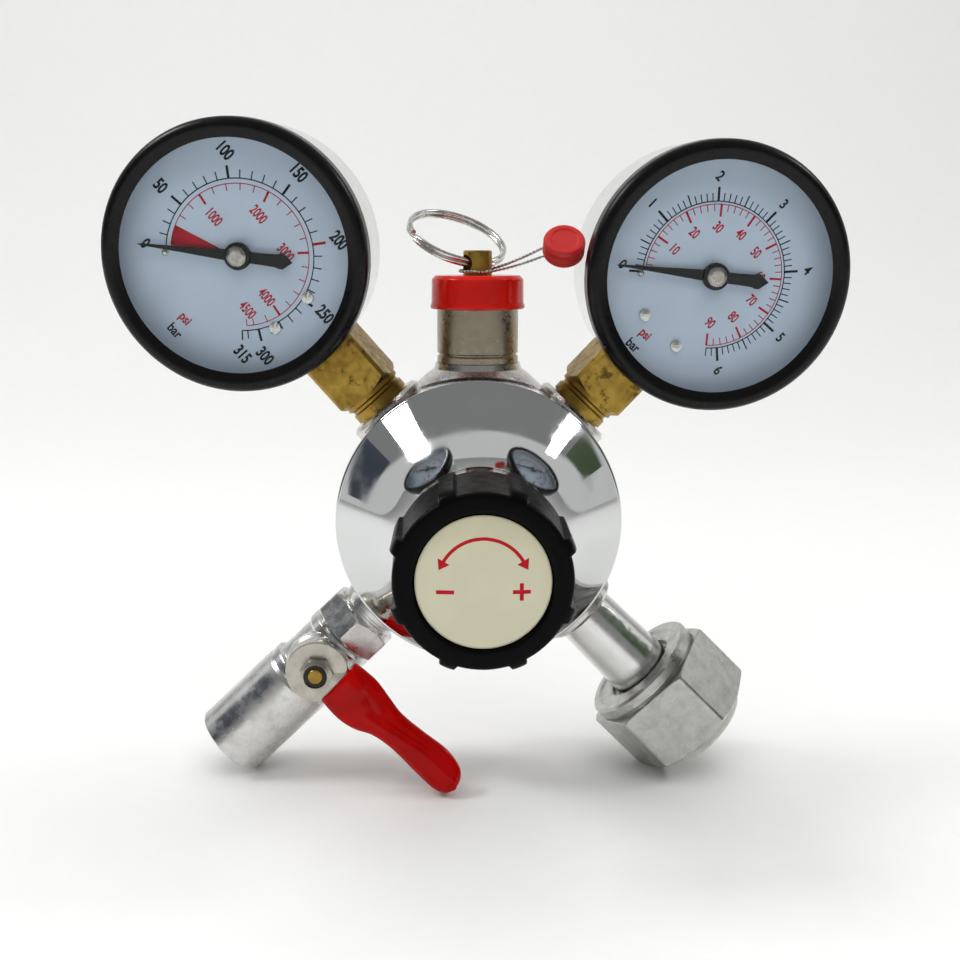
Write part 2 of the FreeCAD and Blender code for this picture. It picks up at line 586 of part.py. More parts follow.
def gauge(settings):
    """One Bourdon gauge. Its own frame: z out of the dial, y away from the regulator."""
    name = settings["name"]
    outward = port_direction(settings["angle"])
    turn = FreeCAD.Rotation(outward, settings["turn"])
    face = turn.multVec(FORWARD)
    centre = outward * settings["reach"]
    x_axis = outward.cross(face)
    reach = settings["reach"]

    def put(part_name, shape):
        add(name + "_" + part_name, placed(shape, centre, face, x_axis))

    half = STEM_SQUARE / 2
    wall = 0.8

    def on_stem(shape):
        """From the stem's own frame, z outwards and x forwards, to the gauge's frame."""
        return placed(shape, Vector(0, -reach, 0), Vector(0, 1, 0), UP)

    stem = rod(PORT_THREAD_R, 24.4, 34.2)
    stem = stem.fuse(turned([(0, 34.0), (7.1, 34.0), (7.1, 36.0), (6.6, 36.4), (6.6, 37.0), (7.3, 37.4),
                             (7.3, SQUARE_START), (0, SQUARE_START)]))
    square = box((-half, half), (-half, half), (SQUARE_START, reach - CASE_R + 2.0))
    square = square.common(turned([(0, SQUARE_START), (half + 0.5, SQUARE_START),
                                   (half + 3.2, SQUARE_START + 1.6), (half + 3.2, reach), (0, reach)]))
    square = square.makeChamfer(0.8, [edge for edge in square.Edges if along_z(edge, 5)])
    stem = on_stem(stem.fuse(square)).cut(rod(CASE_R + 0.02, -20, 20))
    block = box((-5.5, 5.5), (-CASE_R - 0.5, -11.0), (-8.2, -1.1))
    bore = on_stem(rod(1.5, 20, reach - 13).fuse(rod(1.0, 20, reach - 12)))
    stem = joined([stem, block]).cut(bore).cut(bourdon_tube())
    put("socket", stem)

    case = turned([(0, CASE_BACK), (CASE_R - 2.0, CASE_BACK), (CASE_R - 0.6, CASE_BACK + 0.6),
                   (CASE_R, CASE_BACK + 2.0), (CASE_R, BEZEL_FRONT - 2.3),
                   (CASE_R - wall, BEZEL_FRONT - 2.3), (CASE_R - wall, CASE_BACK + 2.0),
                   (CASE_R - 2.0, CASE_BACK + wall), (0, CASE_BACK + wall)])
    opening = box((-5.52, 5.52), (-CASE_R - 5, -CASE_R + 6), (-8.22, -1.08))
    put("case", case.cut(opening))

    bezel = turned([(CASE_R, BEZEL_BACK), (GAUGE_R - 0.5, BEZEL_BACK), (GAUGE_R, BEZEL_BACK + 0.5),
                    (GAUGE_R, BEZEL_FRONT - 2.6), (GAUGE_R - 0.7, BEZEL_FRONT - 0.9),
                    (GAUGE_R - 2.0, BEZEL_FRONT), (WINDOW_R + 1.0, BEZEL_FRONT),
                    (WINDOW_R, BEZEL_FRONT - 0.5), (WINDOW_R, BEZEL_FRONT - 1.0),
                    (CASE_R - 0.7, BEZEL_FRONT - 1.0), (CASE_R - 0.7, BEZEL_FRONT - 2.3),
                    (CASE_R, BEZEL_FRONT - 2.3)])
    put("bezel", bezel)
    put("lens", rod(CASE_R - 0.8, BEZEL_FRONT - 2.5, BEZEL_FRONT - 1.0))

    screw_places = []
    for angle in (-107, -73):
        screw_places.append(Vector(18 * math.cos(math.radians(angle)), 18 * math.sin(math.radians(angle)), 0))
    pin_angle = math.radians(settings["zero"] + 4.5)
    dial = rod(CASE_R - 0.9, DIAL_BACK, DIAL_FRONT).cut(rod(2.2, 0, 10))
    for place in screw_places:
        hole = rod(0.95, 0, 10)
        hole.translate(place)
        dial = dial.cut(hole)
    pin = rod(0.45, DIAL_BACK, DIAL_FRONT + 1.0)
    pin.translate(Vector(17.2 * math.cos(pin_angle), 17.2 * math.sin(pin_angle), 0))
    put("dial", dial.fuse(pin))

    screws = []
    for place in screw_places:
        head = turned([(0, DIAL_FRONT), (1.45, DIAL_FRONT), (1.3, DIAL_FRONT + 0.6), (0, DIAL_FRONT + 0.8)])
        screw = joined([rod(0.9, 3.0, DIAL_FRONT), head])
        screw = screw.cut(box((-2, 2), (-0.2, 0.2), (DIAL_FRONT + 0.45, DIAL_FRONT + 2)))
        screw.rotate(Vector(), UP, 35)
        screw.translate(place)
        screws.append(screw)
    put("dial_screws", Part.makeCompound(screws))

    needle = [(-5.0, 0.75), (-9.8, 1.35), (-9.8, 1.9), (-12.4, 0), (-9.8, -1.9), (-9.8, -1.35),
              (-5.0, -0.75), (0, -1.3), (8.0, -0.85), (23.0, -0.25), (23.4, 0), (23.0, 0.25),
              (8.0, 0.85), (0, 1.3)]
    points = [Vector(x, y, POINTER_BACK) for x, y in needle]
    blade = Part.Face(Part.makePolygon(points + [points[0]])).extrude(Vector(0, 0, 0.5))
    hub = turned([(0.8, POINTER_BACK - 0.6), (3.1, POINTER_BACK - 0.6), (3.1, POINTER_BACK + 0.9),
                  (2.8, POINTER_BACK + 1.2), (0.8, POINTER_BACK + 1.2)])
    pointer = joined([blade.cut(rod(0.8, 0, 12)), hub])
    pointer.rotate(Vector(), UP, settings["zero"])
    put("pointer", pointer)
    button_back = POINTER_BACK + 1.2
    button = turned([(0, button_back), (2.2, button_back), (2.1, button_back + 0.5),
                     (1.4, button_back + 0.8), (0, button_back + 0.8)])
    put("pinion", joined([rod(0.8, -0.9, button_back), rod(PINION_R, 1.2, 2.8), button]))

    sector_r = PINION_R * SECTOR_RATIO
    pivot_y = -(sector_r + PINION_R + GEAR_GAP)
    plates = []
    for bottom, top in ((-1.0, 0.0), (3.6, 4.4)):
        plate = joined([rod(3.4, bottom, top), box((-3.4, 3.4), (pivot_y - 3.0, 0), (bottom, top))])
        hole = rod(0.8 + RUNNING_GAP, -5, 10)
        pivot_hole = rod(0.8 + RUNNING_GAP, -5, 10)
        pivot_hole.translate(Vector(0, pivot_y, 0))
        plates.append(plate.cut(hole).cut(pivot_hole))
    for x in (-2.4, 2.4):
        post = rod(0.7, -0.5, 4.0)
        post.translate(Vector(x, pivot_y - 2.2, 0))
        plates.append(post)
    put("movement_frame", joined(plates))

    sector_start = 59.0
    web = Part.makeCylinder(sector_r, 0.8, Vector(0, 0, 1.6), UP, 35)
    web.rotate(Vector(), UP, sector_start)
    hollow = Part.makeCylinder(sector_r - 2.0, 0.8, Vector(0, 0, 1.6), UP, 25)
    hollow.rotate(Vector(), UP, sector_start + 5)
    rest_hub = rod(1.8, 1.6, 2.4)
    tail = box((-0.9, 0.9), (-1.9, 0), (1.6, 2.4))
    web = joined([web.cut(hollow), rest_hub, tail, rod(0.8, -0.9, 4.3)])
    web.translate(Vector(0, pivot_y, 0))
    put("sector", web)

    put("bourdon_tube", bourdon_tube())
    link = joined([rod(0.9, 0, 0.6), box((0, 9.0), (-0.5, 0.5), (0, 0.6))])
    link.translate(Vector(4.6, pivot_y - 1.2, 0.6))
    put("link", link)


def bourdon_tube():
    """C-shaped flattened tube from the socket block round to its free tip."""
    radius = 19.5
    half_wide = 2.6
    half_thick = 0.8
    middle = -4.6
    outline = [(radius - half_thick, middle - half_wide), (radius + half_thick, middle - half_wide),
               (radius + half_thick, middle + half_wide), (radius - half_thick, middle + half_wide)]
    points = [Vector(r, 0, h) for r, h in outline]
    face = Part.Face(Part.makePolygon(points + [points[0]]))
    curve = face.revolve(Vector(), UP, 235)
    curve.rotate(Vector(), UP, -75)
    return curve


# Assembly -------------------------------------------------------------------------------------

def build():
    regulator_body()
    diaphragm_stack()
    bonnet()
    adjuster()
    poppet_parts()
    inlet()
    relief_valve()
    split_ring()
    tamper_seal()
    outlet_valve()
    gauge(HIGH_GAUGE)
    gauge(LOW_GAUGE)


def row_shift():
    """The move that puts the origin on the ground under the middle of the object."""
    whole = FreeCAD.BoundBox()
    for shape in parts.values():
        whole.add(shape.optimalBoundingBox(False, False))
    return Vector(-(whole.XMin + whole.XMax) / 2, -(whole.YMin + whole.YMax) / 2, -whole.ZMin)


build()
SHIFT = row_shift()
os.makedirs("parts", exist_ok=True)
for part_name, part_shape in parts.items():
    moved = part_shape.copy()
    moved.translate(SHIFT)
    moved.exportStep(os.path.join("parts", part_name + ".step"))
print("parts:", len(parts), "shift:", SHIFT)
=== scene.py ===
"""Looks of the carbon dioxide regulator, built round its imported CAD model.

Pieces are drawn in millimetres in their own frames (turned about z) and placed by a matrix that takes
them to the row frame in metres. The places and directions come from the frame's joints, mounts and
boxes. Only the slants of the lever, the split ring and the seal are set here.
"""

import json
import math

import bmesh
import bpy
from mathutils import Matrix, Vector


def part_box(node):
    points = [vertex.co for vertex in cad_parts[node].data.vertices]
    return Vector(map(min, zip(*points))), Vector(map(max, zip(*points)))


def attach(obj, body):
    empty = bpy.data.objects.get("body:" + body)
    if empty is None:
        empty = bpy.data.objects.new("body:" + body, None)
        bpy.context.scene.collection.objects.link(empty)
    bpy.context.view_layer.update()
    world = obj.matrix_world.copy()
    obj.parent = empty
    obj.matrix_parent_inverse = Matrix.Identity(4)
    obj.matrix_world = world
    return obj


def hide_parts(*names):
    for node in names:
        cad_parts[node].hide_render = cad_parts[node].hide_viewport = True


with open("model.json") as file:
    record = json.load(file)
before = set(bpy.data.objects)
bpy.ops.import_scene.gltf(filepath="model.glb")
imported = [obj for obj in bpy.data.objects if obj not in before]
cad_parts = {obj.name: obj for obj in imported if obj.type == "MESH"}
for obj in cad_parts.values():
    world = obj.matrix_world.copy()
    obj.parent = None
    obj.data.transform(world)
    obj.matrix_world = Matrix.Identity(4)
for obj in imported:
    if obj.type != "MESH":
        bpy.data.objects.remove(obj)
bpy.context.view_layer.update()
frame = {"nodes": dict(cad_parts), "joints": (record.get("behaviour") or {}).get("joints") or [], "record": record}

MM = 0.001
JOINTS = {joint["name"]: joint for joint in frame["joints"]}
MOUNTS = {mount["name"]: mount for mount in frame["record"]["mounts"]}
RIGHT = Vector((1, 0, 0))
FORWARD = Vector((0, -1, 0))
UP = Vector((0, 0, 1))


# Frames ---------------------------------------------------------------------------------------

def middle(node):
    low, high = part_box(node)
    return (low + high) / 2


def placing(origin, z_axis, x_axis):
    """From a piece's own frame in millimetres to the row frame in metres."""
    z = Vector(z_axis).normalized()
    y = z.cross(Vector(x_axis)).normalized()
    x = y.cross(z)
    turn = Matrix((x, y, z)).transposed().to_4x4()
    return Matrix.Translation(origin) @ turn @ Matrix.Scale(MM, 4)


# the port axes meet on the knob's axis, in the plane of the relief valve
ORIGIN = Vector((middle("adjusting_knob").x, middle("relief_cap").y, middle("adjusting_knob").z))
FRONT = placing(ORIGIN, FORWARD, RIGHT)
TOP = placing(ORIGIN, UP, RIGHT)
INLET_WAY = Vector(JOINTS["nut_spin"]["axis"])
OUTLET_WAY = Vector(MOUNTS["outlet_thread"]["axis"])
INLET = placing(ORIGIN, INLET_WAY, FORWARD)
OUTLET = placing(ORIGIN, OUTLET_WAY, FORWARD)
SPINDLE_POINT = Vector(JOINTS["lever_turn"]["pos_m"])
SPINDLE = placing(SPINDLE_POINT, FORWARD, OUTLET_WAY)


def gauge_frame(name):
    """z out of the dial, y away from the regulator."""
    joint = JOINTS[name + "_pointer_turn"]
    centre = Vector(joint["pos_m"])
    face = -Vector(joint["axis"])
    outward = (centre - ORIGIN).normalized()
    return placing(centre, face, outward.cross(face))


# Camera ---------------------------------------------------------------------------------------

def camera():
    """A standing viewer's place, a little above the regulator, in front of its knob."""
    eye, tilt_down, turn_right = Vector((-4.63, -293.35, 61.78)) * MM, 0.1846, 0.0177
    data = bpy.data.cameras.new("camera")
    data.lens = 46.55
    data.sensor_width = 36.0
    data.clip_start = 0.01
    view = link_object("camera", data)
    view.location = ORIGIN + eye
    view.rotation_euler = (math.pi / 2 - tilt_down, 0.0, -turn_right)
    bpy.context.scene.camera = view


# Mesh tools -----------------------------------------------------------------------------------

def link_object(name, data):
    """Make an object from its data and put it in the scene."""
    made = bpy.data.objects.new(name, data)
    bpy.context.scene.collection.objects.link(made)
    return made


def new_piece(name, mesh, body, slot, nodes=(), material=None):
    """Make a smooth object from a finished mesh, and tie it to its body, slot and nodes."""
    piece = link_object(name, mesh)
    mesh.materials.append(material or MATERIALS[slot])
    mesh.polygons.foreach_set("use_smooth", [True] * len(mesh.polygons))
    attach(piece, body)
    if nodes:
        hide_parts(*nodes)
    return piece


def weigh_normals(piece, sharp_degrees):
    """Flat faces stay flat beside their rounded edges."""
    piece.data.set_sharp_from_angle(angle=math.radians(sharp_degrees))
    modifier = piece.modifiers.new("normals", "WEIGHTED_NORMAL")
    modifier.keep_sharp = True


def mesh_of(name, shape):
    """A mesh from a finished bmesh, its faces turned outwards."""
    bmesh.ops.recalc_face_normals(shape, faces=shape.faces)
    mesh = bpy.data.meshes.new(name)
    shape.to_mesh(mesh)
    shape.free()
    return mesh


def mesh_of_curve(curve):
    """The surface of a curve or of text as a mesh; the curve itself goes."""
    holder = link_object("path", curve)
    bpy.context.view_layer.update()
    mesh = bpy.data.meshes.new_from_object(holder.evaluated_get(bpy.context.evaluated_depsgraph_get()))
    bpy.data.objects.remove(holder)
    bpy.data.curves.remove(curve)
    return mesh


def loft(shape, rings):
    """Join neighbouring rings of vertices with quads."""
    for first, second in zip(rings, rings[1:]):
        for index in range(len(first)):
            following = (index + 1) % len(first)
            shape.faces.new((first[index], first[following], second[following], second[index]))


def smooth_step(t):
    t = min(max(t, 0), 1)
    return t * t * (3 - 2 * t)


def polar(radius, degrees):
    """A point in the plane at a radius and an angle in degrees."""
    return Vector((math.cos(math.radians(degrees)), math.sin(math.radians(degrees)))) * radius


def arc_points(centre, radius, start, end, steps):
    """Points of an arc in the plane, by angles in degrees."""
    points = []
    for step in range(steps + 1):
        angle = math.radians(start + (end - start) * step / steps)
        points.append((centre[0] + radius * math.cos(angle), centre[1] + radius * math.sin(angle)))
    return points


def rounded(outline, radius, steps=5):
    """Round the corners of a closed outline; corners on the axis of turning stay."""
    points = [Vector(point) for point in outline]
    result = []
    for index, corner in enumerate(points):
        before = points[index - 1] - corner
        after = points[(index + 1) % len(points)] - corner
        bend = before.angle(after) if before.length and after.length else math.pi
        if corner.x < 1e-6 or bend > math.radians(165):
            result.append(corner)
            continue
        half = bend / 2
        cut = min(radius / math.tan(half), 0.45 * before.length, 0.45 * after.length)
        first = corner + before.normalized() * cut
        last = corner + after.normalized() * cut
        for step in range(steps + 1):
            t = step / steps
            result.append(first * (1 - t) ** 2 + corner * 2 * t * (1 - t) + last * t ** 2)
    return [(point.x, point.y) for point in result]


def even_angles(count):
    return [2 * math.pi * number / count for number in range(count)]


def revolved(name, outline, angles, matrix):
    """A closed surface about z. The outline is a list of (radius, height) or gives one for an angle."""
    shape = bmesh.new()
    grain = shape.verts.layers.float_vector.new("grain")
    columns = []
    poles = {}
    for angle in angles:
        points = outline(angle) if callable(outline) else outline
        column = []
        length = 0.0
        for index, (radius, height) in enumerate(points):
            if index:
                length += math.dist(points[index], points[index - 1])
            if radius < 1e-6:
                if index not in poles:
                    poles[index] = shape.verts.new(matrix @ Vector((0, 0, height)))
                    poles[index][grain] = (0, 0, length)
                column.append(poles[index])
                continue
            spot = Vector((radius * math.cos(angle), radius * math.sin(angle), height))
            vertex = shape.verts.new(matrix @ spot)
            vertex[grain] = (math.cos(angle), math.sin(angle), length)
            column.append(vertex)
        columns.append(column)
    for left, right in zip(columns, columns[1:] + columns[:1]):
        for index in range(len(left)):
            following = (index + 1) % len(left)
            corners = []
            for vertex in (left[index], right[index], right[following], left[following]):
                if vertex not in corners:
                    corners.append(vertex)
            if len(corners) > 2:
                shape.faces.new(corners)
    return mesh_of(name, shape)


def swept(name, outline, angles, place, body, slot, nodes=(), sharp=32, material=None):
    """A piece about z from its finished outline, or from a function that gives one for an angle."""
    piece = new_piece(name, revolved(name, outline, angles, place), body, slot, nodes, material)
    weigh_normals(piece, sharp)


def turned(name, outline, place, body, slot, nodes=(), rounding=0.25, count=128, material=None):
    """A turned piece with rounded corners."""
    swept(name, rounded(outline, rounding), even_angles(count), place, body, slot, nodes, material=material)


CHAMFER_SLOPE = math.tan(math.radians(30))


def hexagon_angles(turn, per_side):
    """Angles for a hexagon's surface, with its corners rounded by close points."""
    angles = []
    corner = math.radians(4)
    for side in range(6):
        start = math.radians(turn + 60 * side)
        for step in range(-3, 4):
            angles.append(start + corner * step / 3)
        for step in range(1, per_side):
            angles.append(start + corner + (math.radians(60) - 2 * corner) * step / per_side)
    return angles


def hexagon_radius(angle, flats, turn):
    """Distance from the axis to a hexagon's side, its corners eased a little."""
    local = (angle - math.radians(turn)) % math.radians(60)
    from_middle = abs(local - math.radians(30))
    sharp = flats / 2 / math.cos(from_middle)
    return min(sharp, flats / math.sqrt(3) * 0.992)


def tube_along(name, points, radius, body, slot, nodes, sides):
    """A round wire along a list of points in metres."""
    curve = bpy.data.curves.new(name, "CURVE")
    curve.dimensions = "3D"
    curve.bevel_depth = radius
    curve.bevel_resolution = sides // 4
    curve.use_fill_caps = True
    spline = curve.splines.new("POLY")
    spline.points.add(len(points) - 1)
    for target, point in zip(spline.points, points):
        target.co = (*point, 1)
    mesh = mesh_of_curve(curve)
    mesh.name = name
    new_piece(name, mesh, body, slot, nodes)


# Materials ------------------------------------------------------------------------------------

def map_range(tree, kind, low, high, value_low, value_high):
    """A node that takes a range of values to another range."""
    made = tree.nodes.new("ShaderNodeMapRange")
    made.interpolation_type = kind
    limits = {"From Min": low, "From Max": high, "To Min": value_low, "To Max": value_high}
    for socket, value in limits.items():
        made.inputs[socket].default_value = value
    return made


def cube(value):
    return (value, value, value)


def dimmed(colour, share):
    return tuple(part * share for part in colour)


class Shader:
    """A node material with one Principled shader, and short ways to feed it."""

    def __init__(self, name, colour, metallic=0.0, roughness=0.5, **constants):
        self.material = bpy.data.materials.new(name)
        self.material.use_nodes = True
        self.tree = self.material.node_tree
        self.surface = self.tree.nodes["Principled BSDF"]
        self.surface.inputs["Base Color"].default_value = (*colour, 1)
        self.surface.inputs["Metallic"].default_value = metallic
        self.surface.inputs["Roughness"].default_value = roughness
        for socket, value in constants.items():
            self.surface.inputs[socket.replace("_", " ")].default_value = value

    def node(self, kind, **values):
        made = self.tree.nodes.new("ShaderNode" + kind)
        for key, value in values.items():
            if key in made.inputs:
                made.inputs[key].default_value = value
            else:
                setattr(made, key, value)
        return made

    def link(self, source, target):
        self.tree.links.new(source, target)

    def place(self, scale, grain=False):
        """Coordinates in millimetres, or round a turned piece: thin across and long round it."""
        if grain:
            source = self.node("Attribute", attribute_name="grain").outputs["Vector"]
        else:
            source = self.node("TexCoord").outputs["Object"]
        mapping = self.node("Mapping")
        mapping.inputs["Scale"].default_value = scale
        self.link(source, mapping.inputs["Vector"])
        return mapping.outputs["Vector"]

    def noise(self, scale, detail=4.0, rough=0.55, grain=False):
        made = self.node("TexNoise", Scale=1.0, Detail=detail, Roughness=rough)
        self.link(self.place(scale, grain), made.inputs["Vector"])
        return made.outputs["Fac"]

    def ramp(self, source, low, high, value_low, value_high):
        made = map_range(self.tree, "SMOOTHSTEP", low, high, value_low, value_high)
        self.link(source, made.inputs["Value"])
        return made.outputs["Result"]

    def cloud(self, scale, detail, low, high, value_low=0.0, value_high=1.0, rough=0.55):
        """Noise of the same scale all ways, spread between two values."""
        return self.ramp(self.noise(cube(scale), detail, rough), low, high, value_low, value_high)

    def blend(self, factor, first, second):
        """Mix two colours, each a socket or a plain colour."""
        made = self.node("Mix", data_type="RGBA")
        self.link(factor, made.inputs["Factor"])
        for socket, colour in ((made.inputs[6], first), (made.inputs[7], second)):
            if isinstance(colour, tuple):
                socket.default_value = (*colour, 1)
            else:
                self.link(colour, socket)
        return made.outputs[2]

    def colour(self, source):
        self.link(source, self.surface.inputs["Base Color"])

    def roughness(self, source):
        self.link(source, self.surface.inputs["Roughness"])

    def bump(self, source, depth):
        """Depth is in millimetres."""
        made = self.node("Bump")
        made.inputs["Strength"].default_value = 1.0
        made.inputs["Distance"].default_value = depth * MM
        self.link(source, made.inputs["Height"])
        self.link(made.outputs["Normal"], self.surface.inputs["Normal"])


def mirror_chrome():
    """Bright chrome with faint polishing haze and a few rubbed patches."""
    shader = Shader("mirror_chrome", (0.66, 0.67, 0.67), metallic=1.0, roughness=0.04)
    shader.roughness(shader.cloud(90, 6, 0.42, 0.75, 0.035, 0.16))
    shader.bump(shader.noise((0.8, 0.8, 5.0), detail=2, grain=True), 0.0012)
    return shader.material


def satin_nickel(name, colour, rough=(0.24, 0.42), spots=0.25):
    """Nickel plate: fine turning lines, slight stains and uneven gloss."""
    shader = Shader(name, colour, metallic=1.0)
    shader.colour(shader.blend(shader.cloud(260, 6, 0.4, 0.75, 0.0, spots), colour, dimmed(colour, 0.55)))
    shader.roughness(shader.cloud(700, 5, 0.3, 0.7, *rough))
    shader.bump(shader.noise((1.5, 1.5, 9.0), detail=3, grain=True), 0.012)
    return shader.material


def cast_plate(name, colour, rough=(0.16, 0.34), depth=0.02):
    """Plated casting: bright, with a slightly uneven skin and dull rubbed spots."""
    shader = Shader(name, colour, metallic=1.0)
    patch = shader.cloud(330, 8, 0.45, 0.7, 0.0, 0.45, rough=0.65)
    shader.colour(shader.blend(patch, colour, dimmed(colour, 0.62)))
    shader.roughness(shader.cloud(240, 6, 0.35, 0.7, *rough))
    shader.bump(shader.noise(cube(900), detail=6), depth)
    return shader.material


def mottled_nut():
    """Dull plating of a hand-tightened nut: grey, blotchy, with tool marks."""
    shader = Shader("mottled_nut", (0.50, 0.50, 0.485), metallic=1.0)
    blotch = shader.cloud(380, 8, 0.38, 0.7, rough=0.66)
    base = shader.blend(blotch, (0.57, 0.575, 0.555), (0.45, 0.45, 0.43))
    shader.colour(shader.blend(shader.cloud(1500, 3, 0.66, 0.74, 0.0, 0.45), base, (0.24, 0.23, 0.2)))
    shader.roughness(shader.cloud(520, 6, 0.3, 0.7, 0.26, 0.42))
    shader.bump(shader.noise(cube(1300), detail=6), 0.014)
    return shader.material


def raw_brass(name, stained=0.85, rough=(0.28, 0.5)):
    """Bare brass, with brown patina in spots and streaks."""
    clean = (0.37, 0.245, 0.05)
    shader = Shader(name, clean, metallic=1.0)
    base = shader.blend(shader.cloud(150, 5, 0.35, 0.7), clean, (0.25, 0.155, 0.03))
    spots = shader.cloud(230, 9, 0.54, 0.64, 0.0, stained, rough=0.66)
    shader.colour(shader.blend(spots, base, (0.075, 0.04, 0.014)))
    shader.roughness(shader.cloud(600, 5, 0.3, 0.7, *rough))
    shader.bump(shader.noise(cube(1100), detail=5), 0.018)
    return shader.material


def moulded(name, colour, rough=(0.4, 0.55), depth=0.012, scale=1800, tint=0.12, **constants):
    """Moulded plastic or enamel: fine skin texture and slight cloudiness."""
    shader = Shader(name, colour, **constants)
    shader.colour(shader.blend(shader.cloud(120, 4, 0.3, 0.7), colour, dimmed(colour, 1 - tint)))
    shader.roughness(shader.cloud(500, 5, 0.3, 0.7, *rough))
    shader.bump(shader.noise(cube(scale), detail=3), depth)
    return shader.material


def spring_wire(name, colour, rough=(0.15, 0.3)):
    """Plain bright steel, a little uneven in gloss and shade."""
    shader = Shader(name, colour, metallic=1.0)
    shader.roughness(shader.cloud(900, 4, 0.3, 0.7, *rough))
    shader.colour(shader.blend(shader.cloud(400, 4, 0.4, 0.7, 0.0, 0.6), colour, dimmed(colour, 0.6)))
    return shader.material


def clear_window():
    """Clear acrylic pane: see-through, with its gloss from the angle of view."""
    material = bpy.data.materials.new("clear_window")
    material.use_nodes = True
    tree = material.node_tree
    tree.nodes.remove(tree.nodes["Principled BSDF"])
    through = tree.nodes.new("ShaderNodeBsdfTransparent")
    through.inputs["Color"].default_value = (0.975, 0.985, 0.99, 1)
    gloss = tree.nodes.new("ShaderNodeBsdfGlossy")
    gloss.inputs["Roughness"].default_value = 0.03
    slant = tree.nodes.new("ShaderNodeLayerWeight")
    slant.inputs["Blend"].default_value = 0.5
    share = map_range(tree, "SMOOTHERSTEP", 0.25, 1.0, 0.012, 0.4)
    mix = tree.nodes.new("ShaderNodeMixShader")
    tree.links.new(slant.outputs["Facing"], share.inputs["Value"])
    tree.links.new(share.outputs["Result"], mix.inputs["Fac"])
    tree.links.new(through.outputs["BSDF"], mix.inputs[1])
    tree.links.new(gloss.outputs["BSDF"], mix.inputs[2])
    tree.links.new(mix.outputs["Shader"], tree.nodes["Material Output"].inputs["Surface"])
    return material


def soft_plastic():
    """Whitish guard plastic that light soaks into."""
    shader = Shader("soft_plastic", (0.64, 0.66, 0.62), roughness=0.42, Subsurface_Weight=0.25,
                    Subsurface_Scale=1.5 * MM)
    shader.colour(shader.blend(shader.cloud(300, 5, 0.35, 0.7), (0.67, 0.69, 0.65), (0.55, 0.575, 0.54)))
    shader.bump(shader.noise(cube(900), detail=3), 0.015)
    return shader.material


MATERIALS = {
    "chrome": mirror_chrome(),
    "nut_plate": mottled_nut(),
    "guard_plastic": soft_plastic(),
    "clear_lens": clear_window(),
}
for make, looks in (
    (satin_nickel, {
        "plated_body": dict(colour=(0.66, 0.64, 0.61), rough=(0.2, 0.34)),
        # the relief body's brown, dark base colour is painted reflection of the nearby brass and the dark
        # surroundings, not the nickel's own tint
        "relief_nickel": dict(colour=(0.36, 0.31, 0.235), rough=(0.24, 0.4)),
        "nipple_chrome": dict(colour=(0.74, 0.74, 0.73), rough=(0.12, 0.24), spots=0.15),
        "case_steel": dict(colour=(0.80, 0.80, 0.785), rough=(0.12, 0.22), spots=0.12),
    }),
    (cast_plate, {
        "valve_metal": dict(colour=(0.70, 0.695, 0.68), rough=(0.2, 0.38)),
        "lever_steel": dict(colour=(0.50, 0.475, 0.415), rough=(0.24, 0.4), depth=0.008),
    }),
    (raw_brass, {
        "socket_brass": dict(),
        "stem_brass": dict(stained=0.55),
        "brass": dict(stained=0.15),
        "sintered_bronze": dict(stained=0.6, rough=(0.6, 0.8)),
        "tube_bronze": dict(stained=0.2),
    }),
    (moulded, {
        "black_plastic": dict(colour=(0.0016, 0.0018, 0.0018), rough=(0.3, 0.42), depth=0.014,
                              Specular_IOR_Level=0.07),
        "bezel_black": dict(colour=(0.0025, 0.0025, 0.003), rough=(0.26, 0.36), depth=0.008, scale=900,
                            Specular_IOR_Level=0.22),
        "pointer_black": dict(colour=(0.003, 0.003, 0.003), rough=(0.3, 0.42), depth=0.005,
                              Specular_IOR_Level=0.2),
        "diaphragm_rubber": dict(colour=(0.02, 0.02, 0.02), rough=(0.6, 0.8)),
        "seat_rubber": dict(colour=(0.015, 0.015, 0.015), rough=(0.6, 0.8)),
        "white_nylon": dict(colour=(0.78, 0.77, 0.72), rough=(0.4, 0.5)),
        "cream_label": dict(colour=(0.70, 0.665, 0.475), rough=(0.10, 0.14), depth=0.002, scale=200,
                            tint=0.05, Coat_Weight=0.6),
        "red_plastic": dict(colour=(0.62, 0.006, 0.002), rough=(0.14, 0.22), depth=0.006, scale=500,
                            tint=0.2, Specular_IOR_Level=0.35),
        "seal_plastic": dict(colour=(0.56, 0.010, 0.008), rough=(0.42, 0.58), depth=0.02, scale=1200,
                             tint=0.2),
        "red_vinyl": dict(colour=(0.54, 0.0015, 0.001), rough=(0.06, 0.11), depth=0.02, scale=200,
                          tint=0.22, Specular_IOR_Level=0.13),
        "dial_paint": dict(colour=(0.60, 0.70, 0.83), rough=(0.45, 0.55), depth=0.002, tint=0.04,
                           Specular_IOR_Level=0.2),
    }),
    (spring_wire, {
        "plain_steel": dict(colour=(0.55, 0.55, 0.54), rough=(0.28, 0.4)),
        "spring_steel": dict(colour=(0.45, 0.45, 0.46), rough=(0.25, 0.4)),
        "ring_steel": dict(colour=(0.72, 0.71, 0.68)),
        "wire_steel": dict(colour=(0.56, 0.55, 0.51), rough=(0.25, 0.4)),
        "ball_chrome": dict(colour=(0.8, 0.8, 0.8), rough=(0.05, 0.1)),
        "dial_screw_steel": dict(colour=(0.62, 0.62, 0.58), rough=(0.2, 0.3)),
        "pinion_nickel": dict(colour=(0.50, 0.46, 0.42), rough=(0.22, 0.34)),
    }),
):
    for slot_name, values in looks.items():
        MATERIALS[slot_name] = make(slot_name, **values)
